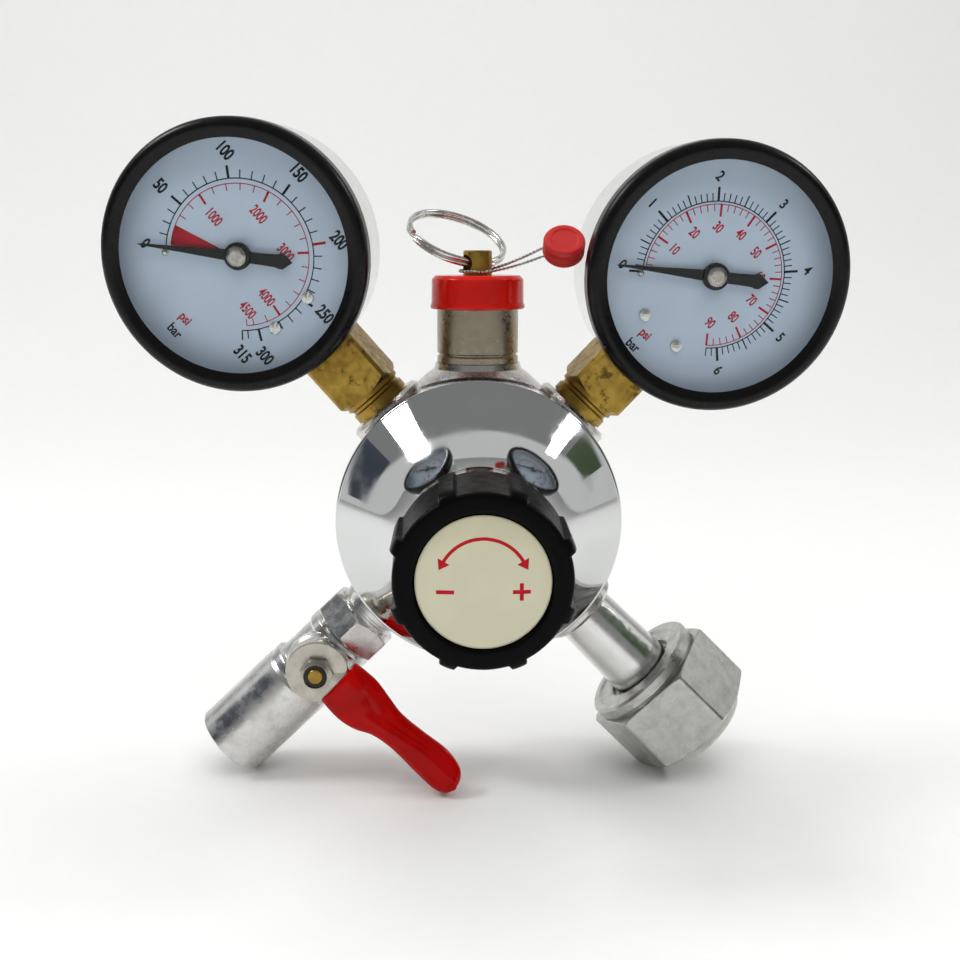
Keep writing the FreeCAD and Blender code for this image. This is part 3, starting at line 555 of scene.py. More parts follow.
# materials that are no slot's own
BLACK_INK = moulded("black_ink", (0.006, 0.009, 0.013), rough=(0.5, 0.6), depth=0.001,
                    Specular_IOR_Level=0.1)
RED_INK = moulded("red_ink", (0.58, 0.012, 0.025), rough=(0.5, 0.6), depth=0.001, Specular_IOR_Level=0.1)
LINER_BLACK = moulded("liner_black", (0.012, 0.012, 0.012), rough=(0.5, 0.6))


def dress_cad_nodes():
    """Give every CAD node the material of its slot."""
    slots = {entry["node"]: entry["material_slot"] for entry in frame["record"]["subparts"]}
    for name, node in frame["nodes"].items():
        node.data.materials.clear()
        node.data.materials.append(MATERIALS[slots[name]])


# Bonnet and knob ------------------------------------------------------------------------------

def reach(node):
    """Where a node round the knob's axis starts and ends in front of the ports, and its radius."""
    low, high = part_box(node)
    return (ORIGIN.y - high.y) / MM, (ORIGIN.y - low.y) / MM, (high.x - low.x) / 2 / MM


def bonnet():
    """Mirror-bright bell, from its rim band to the collar behind the knob."""
    back, front, rim_r = reach("bonnet")
    rim = 16.8
    end_r, end = 16.6, front - 3.8
    neck_r = 13.6
    edge = 0.6
    poles = [Vector(pole) for pole in ((rim_r - edge, rim), (25.3, 24.1), (20.3, 28.3), (end_r, 37.3))]
    bell = []
    for step in range(65):
        t = step / 64
        shares = ((1 - t) ** 3, 3 * t * (1 - t) ** 2, 3 * t * t * (1 - t), t ** 3)
        bell.append(tuple(sum((pole * share for pole, share in zip(poles, shares)), Vector((0, 0)))))
    corner = arc_points((rim_r - edge, rim - edge), edge, 0, 90, 8)
    collar = rounded([(end_r - 1.2, end + 1.2), (neck_r, end + 1.2), (neck_r, front), (9.0, front)], 0.3)
    outline = [(9.0, back), (rim_r - 0.5, back), (rim_r, back + 0.5)] + corner[:-1] + bell
    outline += arc_points((end_r - 1.2, end), 1.2, 0, 90, 6)[1:] + collar[5:]
    swept("bonnet_bell", outline, even_angles(256), FRONT, "regulator", "chrome", ["bonnet"], sharp=25)


def adjusting_knob():
    """Moulded knob with eight ribs along its rim."""
    back, front = reach("adjusting_knob")[:2]
    back_r, front_r, rib_r = 17.9, 17.3, 18.7
    label_r = 13.1
    ribs, first_rib, rib_half, slope, foot = 8, 22.5, 1.75, 0.35, 2.6
    gap = 2 * math.pi / ribs
    hub_r, inside_r = 8.0, 14.8
    angles = []
    for rib in range(ribs):
        start = math.radians(first_rib + rib * 360 / ribs)
        for offset in (-2.6, -2.2, -2.0, -1.85, -1.7, -1.5, -0.8, 0.0, 0.8, 1.5, 1.7, 1.85, 2.0, 2.2, 2.6):
            angles.append(start + offset / rib_r)
        for step in range(1, 8):
            angles.append(start + foot / rib_r + (gap - 2 * foot / rib_r) * step / 8)

    def rib_share(angle):
        local = (angle - math.radians(first_rib) + gap / 2) % gap - gap / 2
        across = (abs(local) * rib_r - rib_half) / slope
        return smooth_step((1 - across) / 2)

    def outline(angle):
        share = rib_share(angle)
        rows = []
        depth = front - back
        for along, ease in ((0.0, 0.55), (0.15, 0.2), (0.5, 0.0), (3.0, 0.0), (depth * 0.5, 0.0),
                            (depth - 3.0, 0.0), (depth - 1.1, 0.0), (depth - 0.6, 0.12),
                            (depth - 0.25, 0.4), (depth, 1.0)):
            base = back_r + (front_r - back_r) * along / depth
            rib = (rib_r - base) * share * min(max((depth - along) / 1.6, 0), 1)
            rows.append((base + rib - ease, back + along))
        rows += [(label_r + 1.0, front), (label_r + 0.45, front - 0.1), (label_r + 0.2, front - 0.4),
                 (label_r + 0.15, front - 1.3), (hub_r, front - 1.3), (hub_r, front - 6.0),
                 (inside_r, front - 6.0), (inside_r, back)]
        return rows

    swept("knob_shell", outline, angles, FRONT, "adjuster", "black_plastic", ["adjusting_knob"], sharp=40)


def knob_label():
    """Domed cream badge with a plain turning sign: an arrow between a plus and a minus."""
    back, front, radius = reach("knob_label")
    rise = 1.1
    edge_height = front - rise
    outline = [(0, back), (radius - 0.15, back), (radius, back + 0.15)]
    for step in range(0, 33):
        r = radius * (1 - step / 32)
        dome = rise * (1 - (r / radius) ** 2) ** 0.75
        outline.append((r, edge_height + dome))
    mesh = revolved("label_dome", outline, even_angles(128), FRONT)
    new_piece("label_dome", mesh, "adjuster", "cream_label", ["knob_label"])

    def on_dome(x, y, lift=0.012):
        r = math.hypot(x, y) / radius
        return Vector((x, y, edge_height + rise * (1 - r * r) ** 0.75 + lift))

    signs = bmesh.new()

    def patch(rows):
        """A strip of quads over the dome from pairs of points."""
        verts = [[signs.verts.new(FRONT @ on_dome(*point)) for point in row] for row in rows]
        for first, second in zip(verts, verts[1:]):
            signs.faces.new((first[0], second[0], second[1], first[1]))

    def bar(x, upright=False):
        """A bar of a plus or a minus, beside the arrow."""
        along, across = Vector((bar_length / 2, 0)), Vector((0, bar_width / 2))
        if upright:
            along, across = Vector((0, bar_length / 2)), Vector((-bar_width / 2, 0))
        rows = []
        for step in range(5):
            spot = Vector((x, -1.6)) + along * (step / 2 - 1)
            rows.append((spot + across, spot - across))
        patch(rows)

    arc_r, arc_half = 8.6, 0.32
    bar_x, bar_length, bar_width = 7.2, 3.4, 0.75
    arc = []
    for step in range(41):
        angle = 150 - 120 * step / 40
        arc.append((polar(arc_r + arc_half, angle), polar(arc_r - arc_half, angle)))
    patch(arc)
    for angle, side in ((30, -1), (150, 1)):
        way = polar(1, angle)
        tip = way * arc_r + Vector((-way.y, way.x)) * side * 1.9
        head = []
        for step in range(5):
            t = step / 4
            spread = 1.25 * (1 - t) + 0.01
            spot = way * arc_r * (1 - t) + tip * t
            head.append((spot + way * spread, spot - way * spread))
        patch(head)
    bar(bar_x)
    bar(bar_x, upright=True)
    bar(-bar_x)
    piece = new_piece("label_signs", mesh_of("label_signs", signs), "adjuster", "cream_label",
                      material=RED_INK)
    thicken(piece, 0.02)


def thicken(piece, depth):
    """Give a printed sheet a little body, so that it is closed."""
    modifier = piece.modifiers.new("body", "SOLIDIFY")
    modifier.thickness = depth * MM
    modifier.offset = 0.0


# Relief valve ---------------------------------------------------------------------------------

def relief_valve():
    """Nickel body with its groove, and the glossy red cap."""
    base, top = ((corner.z - ORIGIN.z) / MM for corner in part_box("relief_cap"))
    body_r, start = 9.5, 35.4
    groove = 36.9
    outline = [(7.0, start), (body_r, start), (body_r, groove), (body_r - 0.4, groove + 0.25),
               (body_r - 0.4, groove + 0.6), (body_r, groove + 0.85), (body_r, base + 2.0),
               (7.0, base + 2.0)]
    turned("relief_barrel", outline, TOP, "regulator", "relief_nickel", ["relief_body"], rounding=0.18)
    cap_r, hole_r = 10.8, 3.45
    cap = [(body_r + 0.05, base), (cap_r + 0.15, base), (cap_r + 0.3, base + 0.6), (cap_r, base + 1.4),
           (cap_r - 0.1, top - 0.9), (cap_r - 0.9, top), (hole_r, top), (hole_r, base + 2.1),
           (body_r + 0.05, base + 2.1)]
    turned("cap_shell", cap, TOP, "regulator", "red_plastic", ["relief_cap"], rounding=0.45)


def split_ring():
    """Spring wire wound twice, the coils side by side, with a joggle where they cross over."""
    centre = middle("split_ring")
    away = (centre - Vector(JOINTS["ring_swing"]["pos_m"])).normalized()
    lean = Vector((0.367, -0.55, 0.75))
    normal = (lean - away * lean.dot(away)).normalized()
    side = normal.cross(away)
    radius, wire = 11.7 * MM, 0.6 * MM
    gap = 0.95 * wire
    start, total = math.radians(96), math.radians(712)
    points = []
    for step in range(241):
        turn = total * step / 240
        crossing = (turn - math.radians(338)) / math.radians(36)
        offset = -gap + 2 * gap * smooth_step(crossing)
        angle = start + turn
        points.append(centre + (away * math.cos(angle) + side * math.sin(angle)) * radius + normal * offset)
    tube_along("ring_coils", points, wire, "ring", "ring_steel", ["split_ring"], sides=24)


def twisted(points, spread, pitch, phase):
    """One strand of a twisted pair that follows a path."""
    strand = []
    travelled = 0.0
    for index, point in enumerate(points):
        ahead = points[min(index + 1, len(points) - 1)]
        behind = points[max(index - 1, 0)]
        along = (ahead - behind).normalized()
        first = along.cross(UP).normalized()
        second = along.cross(first)
        if index:
            travelled += (point - points[index - 1]).length
        angle = phase + 2 * math.pi * travelled / pitch
        strand.append(point + (first * math.cos(angle) + second * math.sin(angle)) * spread)
    return strand


def seal_and_wire():
    """Twisted sealing wire: once round the stem, then two legs into the crimped seal."""
    seal = middle("tamper_seal")
    stem = Vector((ORIGIN.x, ORIGIN.y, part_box("seal_wire")[0].z + 0.45 * MM))
    towards = Vector((seal.x - stem.x, seal.y - stem.y, 0)).normalized()
    across = UP.cross(towards)
    loop_r = 4.1 * MM
    opening, lift, steps = math.radians(50), UP * 0.7 * MM, 40
    upper_end = seal - towards * 3.6 * MM + across * 0.9 * MM + UP * 0.5 * MM
    lower_end = seal - towards * 3.2 * MM - across * 0.9 * MM - UP * 1.6 * MM

    def on_loop(angle):
        return stem + (towards * math.cos(angle) + across * math.sin(angle)) * loop_r

    def leg(start, end, sag, bow):
        points = []
        for step in range(steps + 1):
            t = step / steps
            hump = 4 * t * (1 - t)
            points.append(start.lerp(end, t) - UP * sag * hump * MM + across * bow * hump * MM)
        return points

    path = leg(on_loop(opening) + lift, upper_end, 0.4, 0.3)[:0:-1]
    for step in range(81):
        angle = opening + (2 * math.pi - 2 * opening) * step / 80
        path.append(on_loop(angle) + lift * (1 - step / 80))
    path += leg(on_loop(-opening), lower_end, 0.5, -0.3)[1:]
    for number, phase in enumerate((0.0, math.pi)):
        strand = twisted(path, 0.2 * MM, 1.9 * MM, phase)
        tube_along(f"seal_strand_{number + 1}", strand, 0.19 * MM, "seal", "wire_steel", ["seal_wire"],
                   sides=8)

    face = (FORWARD * 0.75 + UP * 0.66).normalized()
    place = placing(seal, face, RIGHT)
    radius, half = 4.8, 2.5
    outline = [(0, -half), (radius - 0.5, -half), (radius, -half + 0.8), (radius, -0.35),
               (radius - 0.22, -0.1), (radius - 0.22, 0.1), (radius, 0.35), (radius, half - 0.8),
               (radius - 0.6, half), (3.2, half - 0.05), (2.9, half - 0.3), (0, half - 0.3)]
    turned("seal_disc", outline, place, "seal", "seal_plastic", ["tamper_seal"], rounding=0.5, count=72)


# Inlet ----------------------------------------------------------------------------------------

def inlet():
    """Bright nipple, the large nut with its collar, and the soft guard in and over its mouth."""
    nipple = [(3.0, 30.0), (6.5, 30.0), (6.5, 36.4), (7.25, 36.4), (7.4, 40.0), (8.0, 59.0), (8.0, 62.1),
              (9.6, 62.1), (9.6, 64.2), (9.2, 64.6), (3.0, 64.6)]
    turned("nipple_tube", nipple, INLET, "regulator", "nipple_chrome", ["inlet_nipple"], rounding=0.2)

    flats, start, end, turn = 30.8, 59.4, 76.2, -23.8
    chamfer_r = flats / 2 - 0.1
    collar_chamfer_r = flats / math.sqrt(3) - 0.8
    collar_r, collar_start = 15.0, 56.0
    guard_r, thread_r, thread_end = 11.45, 10.2, 72.6
    bore_r, undercut_r, shoulder, thread_start = 8.3, 9.9, 62.0, 66.8

    def outline(angle):
        wall = hexagon_radius(angle, flats, turn)
        drop = (wall - chamfer_r) * CHAMFER_SLOPE
        first_drop = max(wall - collar_chamfer_r, 0) * CHAMFER_SLOPE
        wall_low, wall_high = start + first_drop + 0.12, end - drop - 0.12
        eased = wall - 0.12
        thread = []
        for step in range(8):
            height = thread_start + step * (thread_end - thread_start) / 8
            thread += [(thread_r, height), (thread_r + 0.55, height + 0.36)]
        rows = [(bore_r, shoulder), (bore_r, collar_start + 2.4), (9.1, collar_start + 2.2),
                (9.1, collar_start + 0.9), (9.5, collar_start + 0.5), (collar_r - 2.6, collar_start + 0.45),
                (collar_r - 2.1, collar_start), (collar_r - 0.6, collar_start),
                (collar_r, collar_start + 0.6), (collar_r, start - 0.7), (collar_r - 0.25, start - 0.45),
                (collar_r - 0.5, start - 0.4), (collar_r - 0.5, start),
                (min(eased - 0.1, collar_chamfer_r), start), (eased - 0.06, start + first_drop),
                (wall, wall_low + 0.1), (wall, wall_high - 0.1), (eased - 0.06, end - drop),
                (chamfer_r, end), (guard_r + 0.5, end), (guard_r, end - 0.4),
                (guard_r, thread_end)]
        return rows + thread[::-1] + [(undercut_r, thread_start - 0.2), (undercut_r, shoulder)]

    swept("nut_shell", outline, hexagon_angles(turn, 12), INLET, "nut", "nut_plate", ["inlet_nut"], sharp=28)

    guard_end, lip_r = 79.2, 13.0
    guard = [(thread_r + 0.2, thread_end + 0.1), (guard_r - 0.05, thread_end + 0.1),
             (guard_r - 0.05, end + 0.1), (lip_r, end + 0.12), (lip_r - 0.1, guard_end - 0.9),
             (lip_r - 0.9, guard_end), (thread_r + 0.2, guard_end)]
    turned("guard_ring", guard, INLET, "guard", "guard_plastic", ["thread_guard"], rounding=0.3)


# Outlet valve ---------------------------------------------------------------------------------

def outlet_valve():
    """Hexagon connector, the valve's barrel with its raised band, and the gland for the spindle."""
    flats, start, end, turn = 17.2, 37.6, 45.0, 8.5
    chamfer_r = flats / 2 - 0.1
    bore_r, plug_r, neck_r = 3.5, 6.5, 7.6

    def connector(angle):
        wall = hexagon_radius(angle, flats, turn)
        drop = (wall - chamfer_r) * CHAMFER_SLOPE
        return [(bore_r, 30.0), (plug_r, 30.0), (plug_r, 33.6), (neck_r, 33.7), (neck_r, 36.0),
                (neck_r - 0.4, 36.3), (neck_r - 0.4, 36.7), (neck_r, 37.0), (neck_r, start),
                (chamfer_r, start), (wall - 0.15, start + drop), (wall, start + drop + 0.2),
                (wall, end - drop - 0.2), (wall - 0.15, end - drop), (chamfer_r, end), (plug_r, end),
                (plug_r, 47.0), (bore_r, 47.0)]

    swept("connector_shell", connector, hexagon_angles(turn, 10), OUTLET, "regulator", "valve_metal",
          ["valve_connector"], sharp=28)

    body_r, waist_r, band, tail = 9.4, 8.2, 58.6, 85.0
    thread_r, thread_start = 5.72, 74.2
    barrel = [(6.6, 45.2), (8.2, 45.2), (8.8, 46.0), (8.8, 48.0), (waist_r, 48.8), (waist_r, band - 0.5),
              (9.2, band), (9.3, band + 0.8), (9.2, band + 1.8), (body_r - 0.3, band + 2.2),
              (body_r, band + 3.2), (body_r, tail - 0.45), (body_r - 0.45, tail), (thread_r + 0.6, tail)]
    for step in range(9):
        height = tail - 0.6 - step * (tail - 0.6 - thread_start) / 9
        barrel += [(thread_r, height), (thread_r + 0.5, height - 0.55)]
    barrel += [(thread_r, thread_start), (bore_r, thread_start - 2.2), (bore_r, 59.0), (6.2, 59.0),
               (6.2, 47.0)]
    swept("valve_barrel", rounded(barrel, 0.22, 3), even_angles(128), OUTLET, "regulator", "valve_metal",
          ["valve_body"])

    gland = [(2.6, 5.0), (7.9, 5.0), (7.9, 7.2), (7.2, 8.2), (7.0, 9.0), (7.0, 10.3), (6.7, 10.7),
             (2.6, 10.7)]
    turned("valve_gland", gland, SPINDLE, "regulator", "valve_metal", ["valve_body"], rounding=0.4)


LEVER_BACK = 11.0
LEVER_THICK = 2.0
LEVER_BEND = math.radians(9.6)
BEND_AT = 6.0
LEVER_ANGLE = math.radians(-43.3)
LEVER_WAY = Vector((math.cos(LEVER_ANGLE), 0, math.sin(LEVER_ANGLE)))
# x along the lever, z forwards
LEVER = placing(SPINDLE_POINT, FORWARD, LEVER_WAY)


def leaning(spot):
    """The part of the lever beyond the bend leans forwards."""
    x, y, z = spot
    if x <= BEND_AT:
        return Vector(spot)
    dx, dz = x - BEND_AT, z - LEVER_BACK
    return Vector((BEND_AT + dx * math.cos(LEVER_BEND) - dz * math.sin(LEVER_BEND), y,
                   LEVER_BACK + dx * math.sin(LEVER_BEND) + dz * math.cos(LEVER_BEND)))


def lever():
    """Pressed plate round the spindle, the dipped grip, and the lock nut with its black insert."""
    top = LEVER_BACK + LEVER_THICK
    radius, hole_r, nut_flats, nut_turn = 7.4, 2.05, 7.0, 10

    plate = bmesh.new()
    rim = arc_points((0, 0), radius, 42, 318, 60)
    rim += [(6.3, -4.0), (9.0, -2.0), (12.0, -1.4), (12.0, 3.4), (9.0, 4.6), (6.3, 5.3)]
    hole = arc_points((0, 0), hole_r, 42, 318, 60)
    hole += [polar(hole_r, degrees) for degrees in (330, 345, 360, 375, 390, 396)]
    rings = []
    for height, inset in ((LEVER_BACK, 0.0), (top - 0.35, 0.0), (top - 0.1, 0.1), (top, 0.35)):
        ring = []
        for x, y in rim:
            scale = 1 - inset / math.hypot(x, y)
            ring.append(plate.verts.new(LEVER @ leaning((x * scale, y * scale, height))))
        rings.append(ring)
    for height in (top, LEVER_BACK):
        rings.append([plate.verts.new(LEVER @ Vector((x, y, height))) for x, y in hole])
    loft(plate, rings + rings[:1])
    piece = new_piece("lever_plate", mesh_of("lever_plate", plate), "lever", "lever_steel", ["valve_lever"])
    weigh_normals(piece, 32)
    lever_grip()

    def nut(angle):
        wall = hexagon_radius(angle, nut_flats, nut_turn)
        drop = (wall - nut_flats / 2) * CHAMFER_SLOPE + 0.1
        return [(2.1, top), (wall - drop, top), (wall, top + drop), (wall, top + 1.5 - drop),
                (wall - drop * 1.4, top + 1.5), (3.55, top + 1.55), (3.55, top + 1.9), (3.25, top + 2.0),
                (3.25, top + 2.15), (3.45, top + 2.25), (3.45, top + 2.5), (3.2, top + 2.6),
                (3.2, top + 2.7), (3.3, top + 2.8), (3.25, top + 3.05), (2.9, top + 3.2),
                (2.75, top + 3.1), (2.7, top + 2.9), (2.7, top + 2.4), (2.1, top + 2.4)]

    swept("lock_nut", nut, hexagon_angles(nut_turn, 8), SPINDLE, "lever", "lever_steel", ["lever_nut"],
          sharp=28)
    insert = [(1.85, top + 2.0), (2.68, top + 2.0), (2.68, top + 2.9), (1.85, top + 2.95)]
    turned("lock_insert", insert, SPINDLE, "lever", "lever_steel", rounding=0.15, count=64,
           material=LINER_BLACK)
    end = 16.4
    spindle = [(0, 5.7), (1.95, 5.7), (1.95, top), (1.82, top + 0.4), (1.82, end - 0.3), (1.6, end), (0, end)]
    turned("spindle_end", spindle, SPINDLE, "lever", "brass", ["valve_spindle"], rounding=0.12, count=64)


def lever_grip():
    """Vinyl dipped over the lever: wide at the root, waisted, blunt at its tip, with two small steps."""
    upper = [(5.4, 7.6), (8.5, 8.0), (12.5, 8.1), (17.2, 7.3), (21.8, 6.6), (28.0, 7.1), (35.0, 8.0),
             (39.6, 7.3), (42.0, 5.7), (43.0, 3.4)]
    lower = [(5.4, -4.5), (8.5, -4.9), (12.3, -4.9), (16.2, -4.0), (20.4, -1.9), (26.0, -1.0), (34.0, -1.1),
             (39.2, -0.9), (41.9, 0.3), (43.0, 2.6)]
    thick = 5.2
    middle_height = LEVER_BACK + LEVER_THICK / 2
    stations, section = 60, 128
    root, tip, tip_length = 5.4, 43.9, 3.4
    across_power, rise_power = 0.72, 0.82
    waist_dip, waist, waist_width = 0.14, 0.36, 0.1
    step_width, step_gap, upper_step, lower_step = 0.3, 1.1, 0.36, 0.3
    ridge_line = [(0.0, 0.95), (0.16, 0.67), (0.24, 0.15), (0.34, -0.1), (0.48, 0.03), (0.66, 0.27),
                  (1.0, 0.68)]

    def ridge_side(t):
        """Where the ridge runs at a share of the length, from the lower side -1 to the upper side 1."""
        for (t0, side0), (t1, side1) in zip(ridge_line, ridge_line[1:]):
            if t <= t1:
                share = (t - t0) / (t1 - t0)
                return side0 + (side1 - side0) * smooth_step(share)
        return ridge_line[-1][1]

    def step_down(distance):
        """From 0 to 1 over the width of a step, round zero."""
        return 0.5 + 0.5 * math.tanh(2.2 * distance / step_width)

    def along_line(points, t):
        """Point at a share of a smooth line through the points."""
        spot = t * (len(points) - 1)
        index = min(int(spot), len(points) - 2)
        local = spot - index
        around = [points[min(max(index + k, 0), len(points) - 1)] for k in (-1, 0, 1, 2)]
        result = []
        for axis in (0, 1):
            a, b, c, d = (point[axis] for point in around)
            result.append(0.5 * (2 * b + (c - a) * local + (2 * a - 5 * b + 4 * c - d) * local ** 2
                                 + (3 * b - a - 3 * c + d) * local ** 3))
        return result

    grip = bmesh.new()
    rings = []
    for station in range(stations + 1):
        t = station / stations
        high = along_line(upper, t)
        low = along_line(lower, t)
        centre = (high[0] + low[0]) / 2
        share = min(max((tip - centre) / tip_length, 0), 1)
        round_end = math.sqrt(max(1 - (1 - share) ** 2, 0.0))
        from_root = min(max(centre - root, 0), 1)
        half_thick = thick / 2 * (0.12 + 0.88 * round_end) * (0.86 + 0.14 * math.sqrt(from_root))
        belly = 1.0 - waist_dip * math.exp(-((t - waist) / waist_width) ** 2)
        ring = []
        for number in range(section):
            angle = 2 * math.pi * number / section
            c, s = math.cos(angle), math.sin(angle)
            side = math.copysign(abs(c) ** across_power, c)
            rise = math.copysign(abs(s) ** rise_power, s)
            share_high = (side + 1) / 2
            x = low[0] + (high[0] - low[0]) * share_high
            y = low[1] + (high[1] - low[1]) * share_high
            z = middle_height + half_thick * rise * belly
            if s > 0:
                beyond = (side - ridge_side(t)) * (high[1] - low[1]) / 2
                fade = min(rise * 1.6, 1) * round_end
                steps = upper_step * step_down(beyond) + lower_step * step_down(beyond - step_gap)
                z -= fade * steps
            ring.append(grip.verts.new(LEVER @ leaning_grip((x, y, z))))
        rings.append(ring)
    loft(grip, rings)
    grip.faces.new(list(reversed(rings[0])))
    grip.faces.new(rings[-1])
    piece = new_piece("grip_sleeve", mesh_of("grip_sleeve", grip), "lever", "red_vinyl", ["lever_grip"])
    weigh_normals(piece, 60)


def leaning_grip(spot):
    """The grip's bend is drawn out softly over a few millimetres."""
    x, y, z = spot
    dz = z - LEVER_BACK
    start, end = BEND_AT - 2.0, BEND_AT + 2.0
    if x <= start:
        return Vector(spot)
    share = min((x - start) / (end - start), 1)
    angle = LEVER_BEND * share
    bent = min(x, end) - start
    across = start + bent * math.cos(angle / 2)
    rise = bent * math.sin(angle / 2)
    beyond = max(x - end, 0)
    return Vector((across + beyond * math.cos(LEVER_BEND) - dz * math.sin(angle), y,
                   LEVER_BACK + rise + beyond * math.sin(LEVER_BEND) + dz * math.cos(angle)))


# Gauges ---------------------------------------------------------------------------------------

GAUGE_R = 30.5
CASE_R = 29.4
WINDOW_R = 26.05
BEZEL_FRONT = 12.5
DIAL_FRONT = 5.8
INK_LIFT = 0.015
BAR_PER_PSI = 0.0689476


def gauge_shell(name, place):
    """Bright pressed case, black bezel and clear pane."""
    case = [(0, -13.0), (CASE_R - 2.0, -13.0), (CASE_R - 0.6, -12.4), (CASE_R, -11.0), (CASE_R, 10.0),
            (CASE_R - 0.8, 10.0), (CASE_R - 0.8, 5.0), (CASE_R - 0.8, -11.0), (CASE_R - 2.0, -12.2),
            (0, -12.2)]
    turned(name + "_case_shell", case, place, "regulator", "case_steel", [name + "_case"], rounding=0.5,
           count=192)
    back = 7.3
    front_face = []
    for step in range(9):
        t = step / 8
        radius = GAUGE_R - 2.0 - (GAUGE_R - 2.0 - WINDOW_R - 0.8) * t
        front_face.append((radius, BEZEL_FRONT - 0.55 * t * t))
    bezel = [(CASE_R + 0.02, back), (GAUGE_R - 0.3, back), (GAUGE_R, back + 0.3),
             (GAUGE_R, BEZEL_FRONT - 2.4)]
    bezel += arc_points((GAUGE_R - 2.2, BEZEL_FRONT - 2.2), 2.2, 8, 82, 10)
    bezel += front_face
    bezel += [(WINDOW_R + 0.35, BEZEL_FRONT - 0.68), (WINDOW_R, BEZEL_FRONT - 0.95),
              (WINDOW_R, BEZEL_FRONT - 1.0), (CASE_R - 0.75, BEZEL_FRONT - 1.0),
              (CASE_R - 0.75, BEZEL_FRONT - 2.3), (CASE_R + 0.02, BEZEL_FRONT - 2.3)]
    swept(name + "_bezel_ring", bezel, even_angles(192), place, "regulator", "bezel_black",
          [name + "_bezel"], sharp=30)
    pane = [(0, BEZEL_FRONT - 2.5), (CASE_R - 0.85, BEZEL_FRONT - 2.5), (CASE_R - 0.85, BEZEL_FRONT - 1.05),
            (0, BEZEL_FRONT - 1.05)]
    turned(name + "_pane", pane, place, "regulator", "clear_lens", [name + "_lens"], rounding=0.1,
           count=128)


class Print:
    """Ink on a dial: flat shapes gathered into one mesh."""

    def __init__(self, place, spread=1.0):
        self.place = place @ Matrix.Diagonal((spread, spread, 1, 1))
        self.shape = bmesh.new()

    def add(self, points):
        verts = [self.shape.verts.new(self.place @ Vector((x, y, DIAL_FRONT + INK_LIFT))) for x, y in points]
        self.shape.faces.new(verts)

    def tick(self, angle, inner, outer, width):
        way = polar(1, angle)
        side = Vector((-way.y, way.x)) * width / 2
        self.add([way * inner + side, way * inner - side, way * outer - side, way * outer + side])

    def band(self, start, end, inner, outer):
        steps = max(int(abs(end - start) / 2), 2)
        for step in range(steps):
            a = start + (end - start) * step / steps
            b = start + (end - start) * (step + 1) / steps
            inside = arc_points((0, 0), inner, a, b, 1)
            outside = arc_points((0, 0), outer, a, b, 1)
            self.add([inside[0], inside[1], outside[1], outside[0]])

    def text(self, words, angle, radius, height, up, narrow=0.68, bold=0.08):
        """Words centred at a polar place, upright in the direction of the angle up."""
        curve = bpy.data.curves.new("words", "FONT")
        curve.body = words
        curve.align_x = "CENTER"
        curve.align_y = "CENTER"
        curve.size = height * 1.38
        curve.offset = bold
        mesh = mesh_of_curve(curve)
        turn = Matrix.Rotation(math.radians(up - 90), 2)
        verts = []
        for vertex in mesh.vertices:
            spot = turn @ Vector((vertex.co.x * narrow, vertex.co.y)) + polar(radius, angle)
            verts.append(self.shape.verts.new(self.place @ Vector((*spot, DIAL_FRONT + INK_LIFT))))
        for polygon in mesh.polygons:
            self.shape.faces.new([verts[index] for index in polygon.vertices])
        bpy.data.meshes.remove(mesh)

    def finish(self, name, ink):
        thicken(new_piece(name, mesh_of(name, self.shape), "regulator", "dial_paint", material=ink), 0.02)


def high_dial(place):
    """Scale of the bottle-pressure gauge: 0 to 315 bar outside in black, psi inside in red."""
    black, red = Print(place, 1.04), Print(place, 1.04)
    per_bar = 0.8675
    up = -1.5

    def angle(bar):
        return 97.2 - (bar - 50) * per_bar

    start, end = angle(10), angle(315)
    black.band(start, end, 16.35, 16.6)
    for bar in range(10, 311, 10):
        if bar == 200:
            red.tick(angle(bar), 16.6, 19.4, 0.55)
        else:
            major = bar % 50 == 0
            black.tick(angle(bar), 16.5, 19.2 if major else 18.3, 0.55 if major else 0.26)
    black.tick(end, 16.5, 18.6, 0.3)
    for bar in (50, 100, 150, 200, 250):
        black.text(str(bar), angle(bar), 22.3, 2.75, up, bold=0.13)
    black.text("0", start, 21.2, 2.6, up, bold=0.13)
    black.text("300", angle(300) - 0.5, 22.6, 2.75, up, bold=0.13)
    black.text("315", angle(315) - 0.5, 21.9, 2.75, up, bold=0.13)
    black.text("bar", 185.2, 23.0, 2.3, up, narrow=0.8)

    red.band(start - 2, angle(4500 * BAR_PER_PSI), 15.3, 15.5)
    for value in range(400, 4401, 200):
        major = value % 1000 == 0
        red.tick(angle(value * BAR_PER_PSI), 12.9 if major else 13.9, 15.4, 0.5 if major else 0.22)
    red.tick(angle(4500 * BAR_PER_PSI), 13.9, 15.4, 0.22)
    for label, spot, radius in (("1000", 81.5, 9.8), ("2000", 20.9, 9.9), ("3000", -37.8, 10.2),
                                ("4000", -100.5, 10.6), ("4500", -126.5, 12.0)):
        red.text(label, spot, radius, 2.35, up, narrow=0.6)
    red.text("psi", 185.3, 19.2, 2.2, up, narrow=0.8)
    red.add([polar(3.4, 122)] + arc_points((0, 0), 15.4, 130.6, 113.5, 6))
    black.finish("high_scale_black", BLACK_INK)
    red.finish("high_scale_red", RED_INK)


